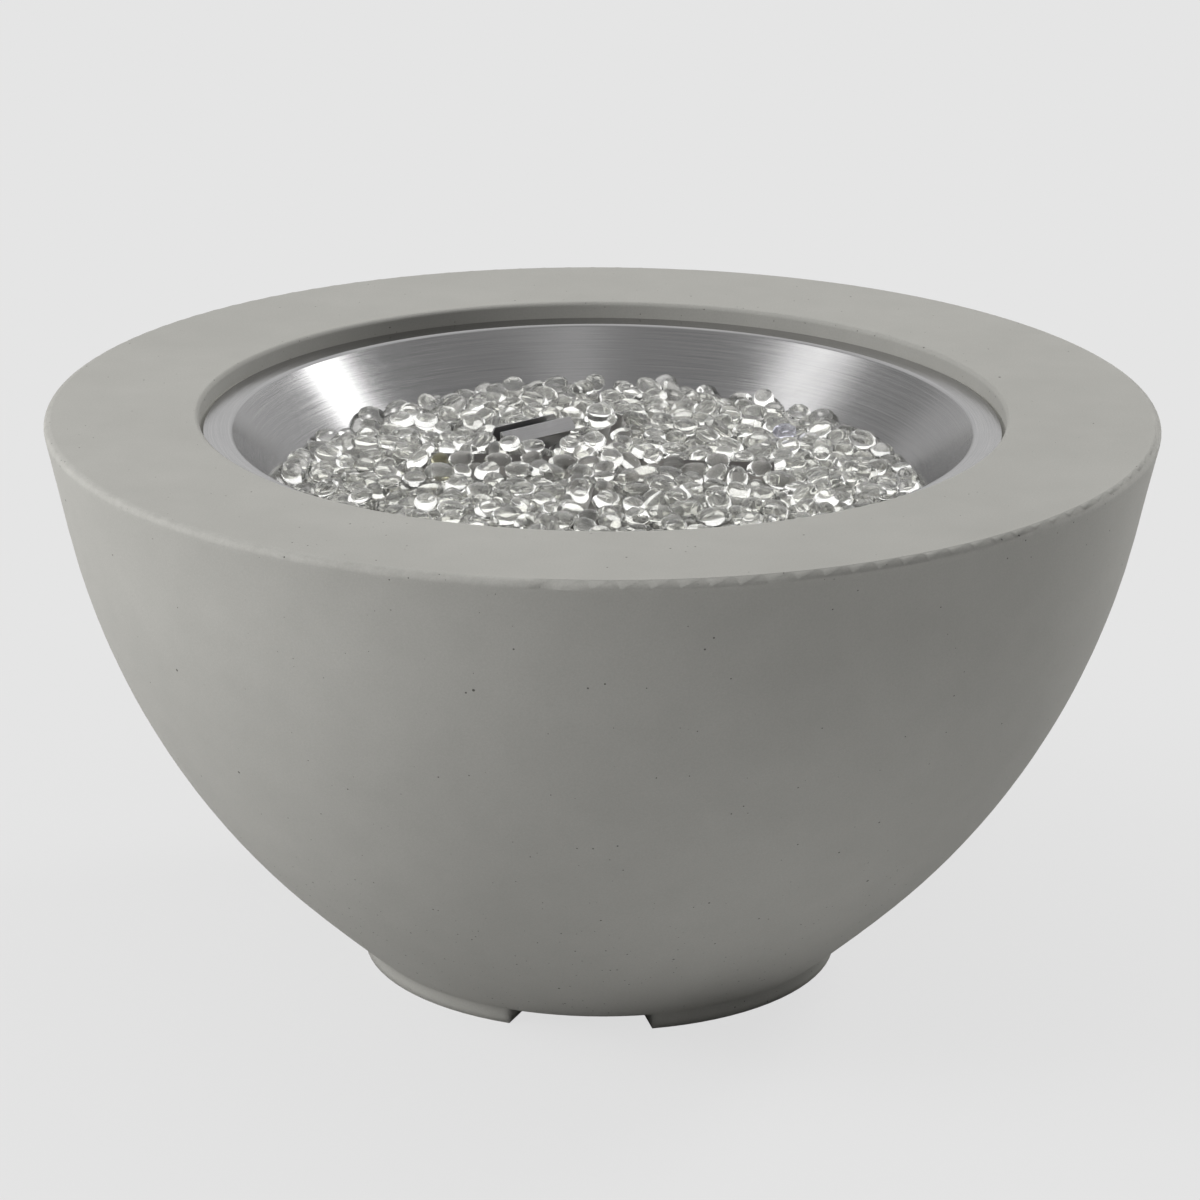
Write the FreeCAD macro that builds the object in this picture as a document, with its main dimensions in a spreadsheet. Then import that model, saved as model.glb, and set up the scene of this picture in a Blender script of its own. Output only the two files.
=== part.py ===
"""Round gas fire bowl: a cast concrete bowl with a drop-in stainless burner pan.

Millimetres, +Z up.  The origin is on the ground under the centre of the bowl,
the front is towards -Y and the gas controls are in the rear wall, towards +Y.
"""
import FreeCAD, Part
import math
import os
import re
import Sketcher
from FreeCAD import Placement, Rotation, Vector

DOC = FreeCAD.newDocument("gas_fire_bowl")
SHEET = DOC.addObject("Spreadsheet::Sheet", "Sizes")

SIZES = [
    # The cast bowl, seen in half section
    ("bowl_height", 381.0, "ground to top of rim"),
    ("rim_radius", 371.5, "outer corner of the rim"),
    ("rim_round", 4.5, "rounding of the outer rim edge"),
    ("well_radius", 268.5, "wall of the round opening that takes the burner pan"),
    ("well_round", 3.0, "rounding of the opening's edge"),
    ("wall_slope", 12.25, "degrees from vertical of the straight stretch under the rim"),
    ("slope_depth", 68.0, "depth under the rim where the straight stretch ends"),
    ("heel_top", 61.0, "height where the belly's curve meets the flatter heel"),
    ("heel_top_radius", 217.1, "outer radius of the bowl at that height"),
    ("heel_radius", 1100.0, "profile radius from there down to the foot"),
    ("wall", 22.0, "thickness of the cast wall"),
    ("floor_thick", 20.0, "thickness of the cast floor"),
    ("floor_opening", 70.0, "radius of the service opening in the floor"),
    ("seat_drop", 12.5, "rim top to the ledge that the pan hangs on"),
    ("seat_width", 18.0, "width of that ledge"),
    ("rim_thick", 34.0, "thickness of the rim at its inner lip"),
    ("haunch_depth", 58.0, "depth where the rim's underside meets the wall"),
    ("foot_height", 10.0, "height of the foot ring"),
    ("foot_width", 30.0, "width of the foot ring"),
    ("notch_angle", 34.2, "angle taken by each notch between two feet"),
    ("feet", 3, "number of feet"),
    # Control recess cast into the rear wall
    ("control_height", 200.0, "height of the recess above the ground"),
    ("recess_depth", 12.0, "depth of the recess below the wall's surface"),
    ("recess_half_length", 62.0, "half the recess's length"),
    ("recess_half_width", 29.0, "half the recess's width"),
    ("control_web", 16.0, "concrete left between the recess and the inner boss"),
    ("boss_margin", 10.0, "how far the inner boss reaches past the recess"),
    # Burner pan, pressed from sheet
    ("pan_gap", 3.0, "gap between the flange and the wall of the well"),
    ("pan_flange", 18.0, "width of the flange, down to the bend into the cone"),
    ("pan_angle", 46.0, "degrees of the cone below horizontal"),
    ("pan_depth", 54.0, "flange top to pan floor"),
    ("pan_sheet", 1.5, "sheet thickness"),
    ("pan_bead", 4.0, "bend radius at the flange"),
    ("pan_corner", 8.0, "bend radius at the floor"),
    ("weep_radius", 3.0, "weep holes in the pan floor"),
    ("weep_margin", 25.0, "edge of the pan floor to the weep holes"),
    # Cross burner
    ("arm_reach", 115.0, "centre to the end of an arm"),
    ("arm_width", 24.0, "width of an arm"),
    ("arm_wall", 16.0, "height of an arm's side wall"),
    ("arm_peak", 30.0, "height of the ridge along an arm"),
    ("arm_sheet", 1.2, "sheet thickness of the burner"),
    ("port_radius", 1.5, "gas ports in the side walls"),
    ("port_height", 12.0, "height of the ports above the pan floor"),
    ("port_first", 30.0, "centre of the burner to the first port"),
    ("port_pitch", 18.0, "spacing of the ports"),
    ("port_count", 5, "ports on each side of each arm"),
    # Gas pipe work under the pan
    ("pipe_radius", 10.65, "outer radius of the half inch burner pipe"),
    ("pipe_bore", 7.9, "bore of that pipe"),
    ("nipple_drop", 36.0, "length of the burner nipple below the pan floor"),
    ("nut_flats", 32.0, "half inch lock nut across flats"),
    ("nut_thick", 7.0, "thickness of that nut"),
    ("elbow_radius", 14.5, "outer radius of the elbow"),
    ("elbow_drop", 48.0, "pan floor down to the elbow's level arm"),
    ("elbow_reach", 26.0, "burner centre to the elbow's mouth"),
    ("thread_grip", 12.0, "length of thread inside a fitting"),
    ("mixer_length", 58.0, "air mixer between the elbow and its flare end"),
    ("mixer_radius", 12.5, "outer radius of the air mixer"),
    ("mixer_slot_half", 4.0, "half width of the air slots"),
    ("mixer_slot_length", 20.0, "length of the air slots"),
    ("jet_radius", 5.0, "outer radius of the gas jet"),
    ("jet_bore", 0.8, "radius of the jet's drilling"),
    ("jet_seat", 10.0, "length of the jet in its seat"),
    ("jet_inset", 6.0, "barrel's end to the jet"),
    ("jet_nose", 3.0, "how far the jet's nose stands into the barrel"),
    ("mixer_skin", 2.5, "wall of the air mixer's barrel"),
    ("mixer_throat", 10.0, "length of the taper from the barrel to the thread"),
    ("flare_radius", 7.94, "male flare thread, five eighths of an inch across"),
    ("flare_length", 14.0, "length of the male flare end"),
    ("flare_bore", 4.0, "bore through the flare fittings"),
    ("thread_gap", 0.06, "radial clearance between a thread and its nut"),
    ("line_radius", 5.0, "outer radius of the gas lines"),
    ("line_nut_flats", 22.0, "flare nut across flats"),
    ("line_nut_length", 24.0, "length of a flare nut"),
    # Igniter guard and what stands in it
    ("guard_radius", 76.0, "burner centre to the guard's centre"),
    ("guard_length", 61.0, "length of the guard"),
    ("guard_width", 13.0, "width of the guard"),
    ("guard_height", 37.0, "height of the guard above the pan floor"),
    ("guard_sheet", 1.2, "sheet thickness of the guard"),
    ("guard_lip", 10.0, "width of the lip folded out at the front"),
    ("guard_dip", 9.0, "how far the end walls stop below the long walls"),
    ("guard_screw_x", 25.0, "guard centre to its screws"),
    ("electrode_x", -13.0, "spark electrode along the guard"),
    ("probe_x", 11.0, "thermocouple along the guard"),
    ("insulator_radius", 4.3, "lower barrel of the ceramic insulator"),
    ("probe_radius", 3.0, "sheath of the thermocouple"),
    ("rod_radius", 1.2, "spark electrode rod"),
    ("insulator_drop", 16.0, "pan floor down to the insulator's lower end"),
    ("rod_drop", 24.0, "pan floor down to the rod's lower end"),
    ("rod_bend", 5.0, "bend radius of the rod"),
    ("rod_reach", 11.0, "how far the rod's tip reaches over"),
    ("tip_drop", 8.0, "guard top down to the rod's tip"),
    ("probe_drop", 14.0, "pan floor down to the thermocouple's lower end"),
    ("hole_gap", 0.2, "radial clearance of plain holes"),
    ("clamp_sheet", 1.5, "thickness of the plate under the pan"),
    # Gas valve, along the control axis
    ("valve_x", -27.0, "recess centre to the valve's axis, seen from behind"),
    ("shaft_hole", 13.0, "radius of the hole in the wall for the valve"),
    ("valve_radius", 15.0, "outer radius of the valve body"),
    ("valve_length", 44.0, "length of the valve body behind its bracket"),
    ("bonnet_radius", 7.0, "threaded bonnet of the valve"),
    ("bonnet_length", 9.0, "length of the bonnet in front of the bracket"),
    ("port_boss_radius", 9.0, "bosses round the valve's ports"),
    ("port_boss_reach", 26.0, "valve axis to the end of a side port"),
    ("inlet_back", 18.0, "bracket to the axis of the inlet port"),
    ("magnet_back", 32.0, "bracket to the axis of the safety magnet"),
    ("magnet_radius", 7.0, "housing of the safety magnet"),
    ("stem_radius", 4.0, "radius of the valve stem"),
    ("stem_gap", 0.05, "running clearance of stem and button"),
    ("stem_depth", 20.0, "how far the stem reaches into the valve body"),
    ("stem_flat", 2.6, "stem axis to its flat"),
    ("knob_push", 4.0, "travel of the knob"),
    ("bracket_sheet", 2.0, "thickness of the valve bracket"),
    ("bracket_half_length", 32.0, "half the length of the valve bracket"),
    ("bracket_half_width", 17.0, "half the width of the valve bracket"),
    ("bracket_screw_y", 25.0, "valve axis to the bracket's screws"),
    ("valve_nut_flats", 19.0, "valve lock nut across flats"),
    ("valve_nut_thick", 4.0, "thickness of the valve lock nut"),
    ("bezel_radius", 23.0, "outer radius of the ring under the knob"),
    ("bezel_thick", 1.5, "thickness of that ring"),
    ("knob_radius", 19.0, "radius of the control knob"),
    ("knob_height", 19.0, "height of the control knob"),
    ("knob_rise", 6.2, "recess floor to the knob at rest"),
    ("knob_hub", 8.0, "radius of the hub inside the knob"),
    ("knob_skin", 2.0, "wall of the moulded knob"),
    ("knob_roof", 4.0, "plastic above the end of the stem"),
    ("grip_half_width", 6.0, "half the width of the grip bar"),
    ("grub_radius", 1.5, "grub screw in the knob"),
    ("grub_length", 5.0, "length of the grub screw"),
    ("grub_height", 3.4, "knob's underside to the grub screw"),
    ("bezel_bore", 11.0, "opening of the ring under the knob"),
    ("bezel_sleeve", 5.0, "length of that ring's sleeve in the wall"),
    ("lead_nut_flats", 9.0, "thermocouple nut across flats"),
    ("lead_nut_length", 8.0, "length of the thermocouple nut"),
    ("cup_radius", 7.6, "radius of the spring cup"),
    ("cup_thick", 1.5, "thickness of the spring cup"),
    ("spring_wire", 0.5, "wire radius of the two springs"),
    ("stem_coil", 6.2, "coil radius of the stem spring"),
    # Push button igniter, along the same axis
    ("igniter_x", 33.0, "recess centre to the igniter's axis"),
    ("igniter_flange", 15.5, "radius of the igniter's front flange"),
    ("igniter_flange_thick", 2.5, "thickness of that flange"),
    ("barrel_radius", 11.0, "threaded barrel of the igniter"),
    ("barrel_length", 28.0, "length of that thread behind the recess floor"),
    ("case_radius", 10.0, "battery case behind the thread"),
    ("case_length", 76.0, "recess floor to the end of the battery case"),
    ("case_bore", 8.2, "bore of the battery case"),
    ("case_end", 6.0, "thickness of the case's rear end"),
    ("battery_radius", 7.1, "AA battery"),
    ("battery_length", 49.0, "AA battery without its nub"),
    ("igniter_nut_flats", 27.0, "igniter nut across flats"),
    ("igniter_nut_thick", 5.0, "thickness of the igniter nut"),
    ("cap_radius", 13.0, "screw cap that holds the button"),
    ("cap_thick", 3.0, "thickness of the screw cap"),
    ("button_radius", 6.6, "visible part of the button"),
    ("button_rise", 5.5, "how far the button stands out of its cap"),
    ("button_shoulder", 2.5, "thickness of the button's shoulder"),
    ("cap_well", 7.4, "radius of the well in the cap that holds the shoulder"),
    ("cap_sleeve", 6.5, "length of the cap's thread inside the case"),
    ("battery_nub", 1.4, "height of the battery's nub"),
    ("terminal_radius", 1.6, "terminal pin behind the case"),
    ("button_coil", 5.0, "coil radius of the button spring"),
    ("terminal_length", 9.0, "spade terminal behind the case"),
    # Gas inlet over the floor opening
    ("bridge_bearing", 30.0, "how far the inlet bridge rests on the floor at each end"),
    ("bridge_half_width", 20.0, "half the width of the inlet bridge"),
    ("bridge_sheet", 2.5, "thickness of the inlet bridge"),
    ("bridge_wall", 12.0, "height of the bridge's side walls"),
    ("bridge_screw_y", 11.0, "bridge centre line to its screws"),
    ("inlet_hex_flats", 22.0, "hexagon of the inlet fitting across flats"),
    ("inlet_hex_thick", 12.0, "thickness of that hexagon"),
    ("inlet_shank", 9.5, "radius of the fitting's shank through the bridge"),
    ("inlet_thread", 11.5, "length of the inlet's thread below the lock nut"),
    ("flare_nose", 2.2, "length of the coned nose of the inlet"),
    ("inlet_nut_thick", 4.5, "lock nut under the bridge"),
    ("inlet_nut_flats", 25.0, "that nut across flats"),
    # Fasteners
    ("screw_radius", 2.0, "small screws in the pan"),
    ("screw_head", 3.8, "head radius of the small screws"),
    ("screw_head_high", 2.4, "head height of the small screws"),
    ("small_nut_flats", 7.0, "small nuts across flats"),
    ("small_nut_thick", 3.2, "thickness of the small nuts"),
    ("bolt_radius", 2.5, "bolts into the concrete"),
    ("bolt_head", 4.8, "head radius of those bolts"),
    ("bolt_head_high", 3.2, "head height of those bolts"),
    ("insert_radius", 4.0, "brass inserts cast into the concrete"),
    ("insert_length", 10.0, "length of the inserts"),
    # Fire glass
    ("bed_clear", 0.4, "gap between the glass bed and the metal"),
    ("bed_edge_drop", 43.0, "rim top to the bed at the pan's cone"),
    ("bed_crown", 6.0, "how much higher the bed is at its centre"),
    # Leads
    ("lead_radius", 1.75, "high tension ignition lead"),
    ("copper_radius", 1.25, "thermocouple's copper lead"),
    ("boot_radius", 3.4, "rubber boots on the ignition lead"),
    ("boot_length", 14.0, "length of those boots"),
]

for row, (alias, value, note) in enumerate(SIZES, start=1):
    SHEET.set("A%d" % row, alias)
    SHEET.set("B%d" % row, str(value))
    SHEET.setAlias("B%d" % row, alias)
    SHEET.set("C%d" % row, note)
DOC.recompute()

# Sizes that follow from the ones above, as formulas
FOLLOWS = {
    "pan_bend_radius": "(well_radius - pan_gap - pan_flange)",
    "pan_floor_radius": "(well_radius - pan_gap - pan_flange - pan_depth / tan(pan_angle))",
    "bridge_half_length": "(floor_opening + bridge_bearing)",
    "bridge_screw_x": "(floor_opening + bridge_bearing / 2)",
}
ALIASES = {alias for alias, value, note in SIZES}
NODES = []


# ---------------------------------------------------------------- helpers

def bound(formula):
    """A formula of size names as an expression on the spreadsheet."""
    def in_sheet(match):
        name = match.group(0)
        if name in FOLLOWS:
            return bound(FOLLOWS[name])
        return "Sizes." + name if name in ALIASES else name

    return re.sub(r"[a-z_]+", in_sheet, str(formula))


def number(formula):
    """The present value of a formula of size names."""
    return float(SHEET.evalExpression(bound(formula)))


def link(obj, prop, formula):
    """Binds a property of a feature to the spreadsheet."""
    obj.setExpression(prop, bound(formula))


def node(obj, name):
    """Marks an object as a sub-part and gives it its name."""
    obj.Label = name
    NODES.append(obj)
    return obj


def new_body(name):
    return DOC.addObject("PartDesign::Body", name + "_body")


def sketch_on(body, role="XY_Plane", offset=None):
    """A sketch on one of the body's own origin planes, or offset from it."""
    sketch = body.newObject("Sketcher::SketchObject", body.Name + "_sketch")
    plane = [p for p in body.Origin.OriginFeatures if p.Role == role][0]
    sketch.AttachmentSupport = [(plane, "")]
    sketch.MapMode = "FlatFace"
    if offset is not None:
        sketch.AttachmentOffset = offset
    return sketch


def fix(sketch, kind, *where, to):
    """A dimension of a sketch, bound to a formula."""
    index = sketch.addConstraint(Sketcher.Constraint(kind, *where, number(to)))
    link(sketch, "Constraints[%d]" % index, to)


def pin_point(sketch, edge, end, x, y):
    """Holds one point of a sketch at two formulas from the sketch's origin."""
    fix(sketch, "DistanceX", -1, 1, edge, end, to=x)
    fix(sketch, "DistanceY", -1, 1, edge, end, to=y)


def polygon(sketch, corners):
    """A closed outline of straight lines with every corner bound to the sheet."""
    points = [Vector(number(x), number(y), 0) for x, y in corners]
    first = sketch.GeometryCount
    count = len(points)
    for i in range(count):
        sketch.addGeometry(Part.LineSegment(points[i], points[(i + 1) % count]))
    for i in range(count):
        nxt = first + (i + 1) % count
        sketch.addConstraint(Sketcher.Constraint("Coincident", first + i, 2, nxt, 1))
    for i, (x, y) in enumerate(corners):
        pin_point(sketch, first + i, 1, x, y)


def rectangle(sketch, x_low, x_high, y_low, y_high):
    polygon(sketch, [(x_low, y_low), (x_high, y_low), (x_high, y_high), (x_low, y_high)])


def circle(sketch, x, y, radius):
    edge = sketch.addGeometry(Part.Circle(Vector(number(x), number(y), 0), Vector(0, 0, 1),
                                          number(radius)))
    pin_point(sketch, edge, 3, x, y)
    fix(sketch, "Radius", edge, to=radius)


def hexagon(sketch, flats, x="0", y="0"):
    corner = "(%s) / 2 / cos(30)" % flats
    polygon(sketch, [("%s + %s * cos(%d)" % (x, corner, a), "%s + %s * sin(%d)" % (y, corner, a))
                     for a in range(0, 360, 60)])


def stadium(sketch, half_length, half_width, x="0"):
    """Two half circles joined by straight lines, long in X and centred on x."""
    reach = number(half_length) - number(half_width)
    wide = number(half_width)
    mid = number(x)
    up = Vector(0, 0, 1)
    right = sketch.addGeometry(Part.ArcOfCircle(Part.Circle(Vector(mid + reach, 0, 0), up, wide),
                                                -math.pi / 2, math.pi / 2))
    top = sketch.addGeometry(Part.LineSegment(Vector(mid + reach, wide, 0), Vector(mid - reach, wide, 0)))
    left = sketch.addGeometry(Part.ArcOfCircle(Part.Circle(Vector(mid - reach, 0, 0), up, wide),
                                               math.pi / 2, math.pi * 3 / 2))
    low = sketch.addGeometry(Part.LineSegment(Vector(mid - reach, -wide, 0), Vector(mid + reach, -wide, 0)))
    for a, end_a, b, end_b in ((right, 2, top, 1), (top, 2, left, 1), (left, 2, low, 1), (low, 2, right, 1)):
        sketch.addConstraint(Sketcher.Constraint("Tangent", a, end_a, b, end_b))
    pin_point(sketch, right, 3, "%s + %s - %s" % (x, half_length, half_width), "0")
    fix(sketch, "DistanceX", -1, 1, left, 3, to="%s - %s + %s" % (x, half_length, half_width))
    fix(sketch, "Radius", right, to=half_width)


def pad(body, sketch, length, reverse=False, both_ways=False):
    feature = body.newObject("PartDesign::Pad", body.Name + "_pad")
    feature.Profile = sketch
    link(feature, "Length", length)
    feature.Reversed = reverse
    feature.Midplane = both_ways
    return finish(body, feature)


def pocket(body, sketch, length, reverse=False, both_ways=False):
    """Cuts down from the sketch's face, or up from it if reversed."""
    before = body.Shape.Volume
    feature = body.newObject("PartDesign::Pocket", body.Name + "_pocket")
    feature.Profile = sketch
    link(feature, "Length", length)
    feature.Reversed = reverse
    feature.Midplane = both_ways
    finish(body, feature)
    if body.Shape.Volume > before - 0.01:
        raise RuntimeError("a pocket of %s cuts nothing" % body.Name)
    return feature


def finish(body, feature):
    body.Tip = feature
    DOC.recompute()
    return feature


def revolve(body, sketch):
    feature = body.newObject("PartDesign::Revolution", body.Name + "_turn")
    feature.Profile = sketch
    feature.ReferenceAxis = (sketch, ["V_Axis"])
    feature.Angle = 360
    return finish(body, feature)


def round_edges(body, radius, wanted):
    """Rounds the edges of the body for which wanted(edge) is true."""
    base = body.Tip
    names = ["Edge%d" % (i + 1) for i, edge in enumerate(base.Shape.Edges) if wanted(edge)]
    feature = body.newObject("PartDesign::Fillet", body.Name + "_round")
    feature.Base = (base, names)
    link(feature, "Radius", radius)
    return finish(body, feature)


def ring_edge(radius, height):
    """Tells a circular edge round the Z axis by its radius and height."""
    r = number(radius)
    z = number(height)

    def wanted(edge):
        curve = edge.Curve
        if not isinstance(curve, Part.Circle):
            return False
        return abs(curve.Radius - r) < 0.01 and abs(curve.Center.z - z) < 0.01

    return wanted


def turned(name, outline, place=None):
    """A solid of revolution about its own Z axis, from corners of (radius, height)."""
    body = new_body(name)
    sketch = sketch_on(body, "XZ_Plane")
    polygon(sketch, outline)
    revolve(body, sketch)
    if place is not None:
        body.Placement = place
    return body


def tube_outline(outer, inner, low, high):
    return [(inner, low), (outer, low), (outer, high), (inner, high)]


def nut(name, flats, bore, thick, place):
    body = new_body(name)
    sketch = sketch_on(body)
    hexagon(sketch, flats)
    circle(sketch, "0", "0", bore)
    pad(body, sketch, thick)
    body.Placement = place
    return body


def plate(name, thick, outline, holes, place):
    """A flat plate in its own XY plane, from Z = 0 up, with round holes."""
    body = new_body(name)
    sketch = sketch_on(body)
    outline(sketch)
    for x, y, radius in holes:
        circle(sketch, x, y, radius)
    pad(body, sketch, thick)
    body.Placement = place
    return body


def group(name, bodies):
    """Identical pieces in one node, each still a solid of its own."""
    compound = DOC.addObject("Part::Compound", name + "_group")
    compound.Links = bodies
    DOC.recompute()
    return node(compound, name)


def at(frame, x="0", y="0", z="0", turn=None):
    """A placement inside a frame, at formulas along its axes."""
    local = Placement(Vector(number(x), number(y), number(z)), turn or Rotation())
    return frame.multiply(local)


def point(frame, x="0", y="0", z="0"):
    return at(frame, x, y, z).Base


def arc_path(points):
    """Straight runs joined by tangent arcs, each as large as its runs allow."""
    edges = []
    start = points[0]
    for before, corner, after in zip(points, points[1:], points[2:]):
        back = (before - corner).normalize()
        ahead = (after - corner).normalize()
        half_turn = (math.pi - back.getAngle(ahead)) / 2
        cut = 0.45 * min((before - corner).Length, (after - corner).Length)
        radius = cut / math.tan(half_turn)
        enter = corner + back * cut
        leave = corner + ahead * cut
        middle_way = (back + ahead).normalize()
        sagitta = radius / math.cos(half_turn) - radius
        edges.append(Part.LineSegment(start, enter).toShape())
        edges.append(Part.Arc(enter, corner + middle_way * sagitta, leave).toShape())
        start = leave
        print("  bend radius %.1f" % radius)
    edges.append(Part.LineSegment(start, points[-1]).toShape())
    return Part.Wire(edges)


def line_along(name, points, radius):
    """A round lead or hose along a path of runs and arcs."""
    print(name)
    path = arc_path(points)
    start = (points[1] - points[0]).normalize()
    ring = Part.Wire([Part.Circle(points[0], start, number(radius)).toShape()])
    solid = path.makePipeShell([ring], True, True)
    expected = math.pi * number(radius) ** 2 * path.Length
    if abs(solid.Volume / expected - 1) > 0.01:
        raise RuntimeError("%s has the wrong volume" % name)
    feature = DOC.addObject("Part::Feature", name + "_line")
    feature.Shape = solid
    return node(feature, name)


def coil(name, wire, radius, low, high, turns, place):
    """A compression spring about its own Z axis, of six-sided wire to keep its faces few."""
    body = new_body(name)
    sketch = sketch_on(body, "XZ_Plane")
    hexagon(sketch, "2 * " + wire, radius, "%s + %s" % (low, wire))
    spring = body.newObject("PartDesign::AdditiveHelix", name + "_helix")
    spring.Profile = sketch
    spring.ReferenceAxis = (sketch, ["V_Axis"])
    spring.Mode = "height-turns-angle"
    link(spring, "Height", "%s - (%s) - 2 * %s" % (high, low, wire))
    spring.Turns = turns
    finish(body, spring)
    body.Placement = place
    return body


# ------------------------------------------------- places that pieces share

def belly_arc():
    """Radius and centre (radius, depth) of the arc that carries the straight stretch to the heel."""
    slope = math.radians(number("wall_slope"))
    start = (number("rim_radius - slope_depth * tan(wall_slope)"), number("slope_depth"))
    end = (number("heel_top_radius"), number("bowl_height - heel_top"))
    along = (end[0] - start[0], end[1] - start[1])
    inward = along[0] * math.cos(slope) + along[1] * math.sin(slope)
    radius = -(along[0] ** 2 + along[1] ** 2) / (2 * inward)
    return radius, (start[0] - radius * math.cos(slope), start[1] - radius * math.sin(slope))


def outer_wall(depth):
    """Radius and slope (radians from vertical) of the bowl's outside at a depth."""
    if depth <= number("slope_depth"):
        slope = math.radians(number("wall_slope"))
        return number("rim_radius") - depth * math.tan(slope), slope
    radius, centre = belly_arc()
    heel_depth = number("bowl_height - heel_top")
    if depth > heel_depth:
        slope = math.asin((heel_depth - centre[1]) / radius)
        heel = number("heel_radius")
        edge = centre[0] + radius * math.cos(slope)
        centre = (edge - heel * math.cos(slope), heel_depth - heel * math.sin(slope))
        radius = heel
    slope = math.asin((depth - centre[1]) / radius)
    return centre[0] + radius * math.cos(slope), slope


def control_frame():
    """Recess floor's centre, with Z along the wall's outward normal and Y up the wall."""
    radius, slope = outer_wall(number("bowl_height - control_height"))
    normal = Vector(0, math.cos(slope), -math.sin(slope))
    up_wall = Vector(0, math.sin(slope), math.cos(slope))
    surface = Vector(0, radius, number("control_height"))
    centre = surface - normal * number("recess_depth")
    return Placement(centre, Rotation(up_wall.cross(normal), up_wall, normal, "ZXY"))


WORLD = Placement()
CONTROLS = control_frame()
VALVE = at(CONTROLS, x="valve_x")
IGNITER = at(CONTROLS, x="igniter_x")
PAN_FLOOR = "(bowl_height - seat_drop + pan_sheet - pan_depth)"
GUARD = at(WORLD, x="-guard_radius * cos(45)", y="guard_radius * sin(45)", z=PAN_FLOOR,
           turn=Rotation(Vector(0, 0, 1), 45))
PAN = at(WORLD, z=PAN_FLOOR)
BEHIND = Rotation(Vector(1, 0, 0), -90)      # turns a piece's own Z to point at the rear


# ------------------------------------------------------------ the cast bowl

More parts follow.
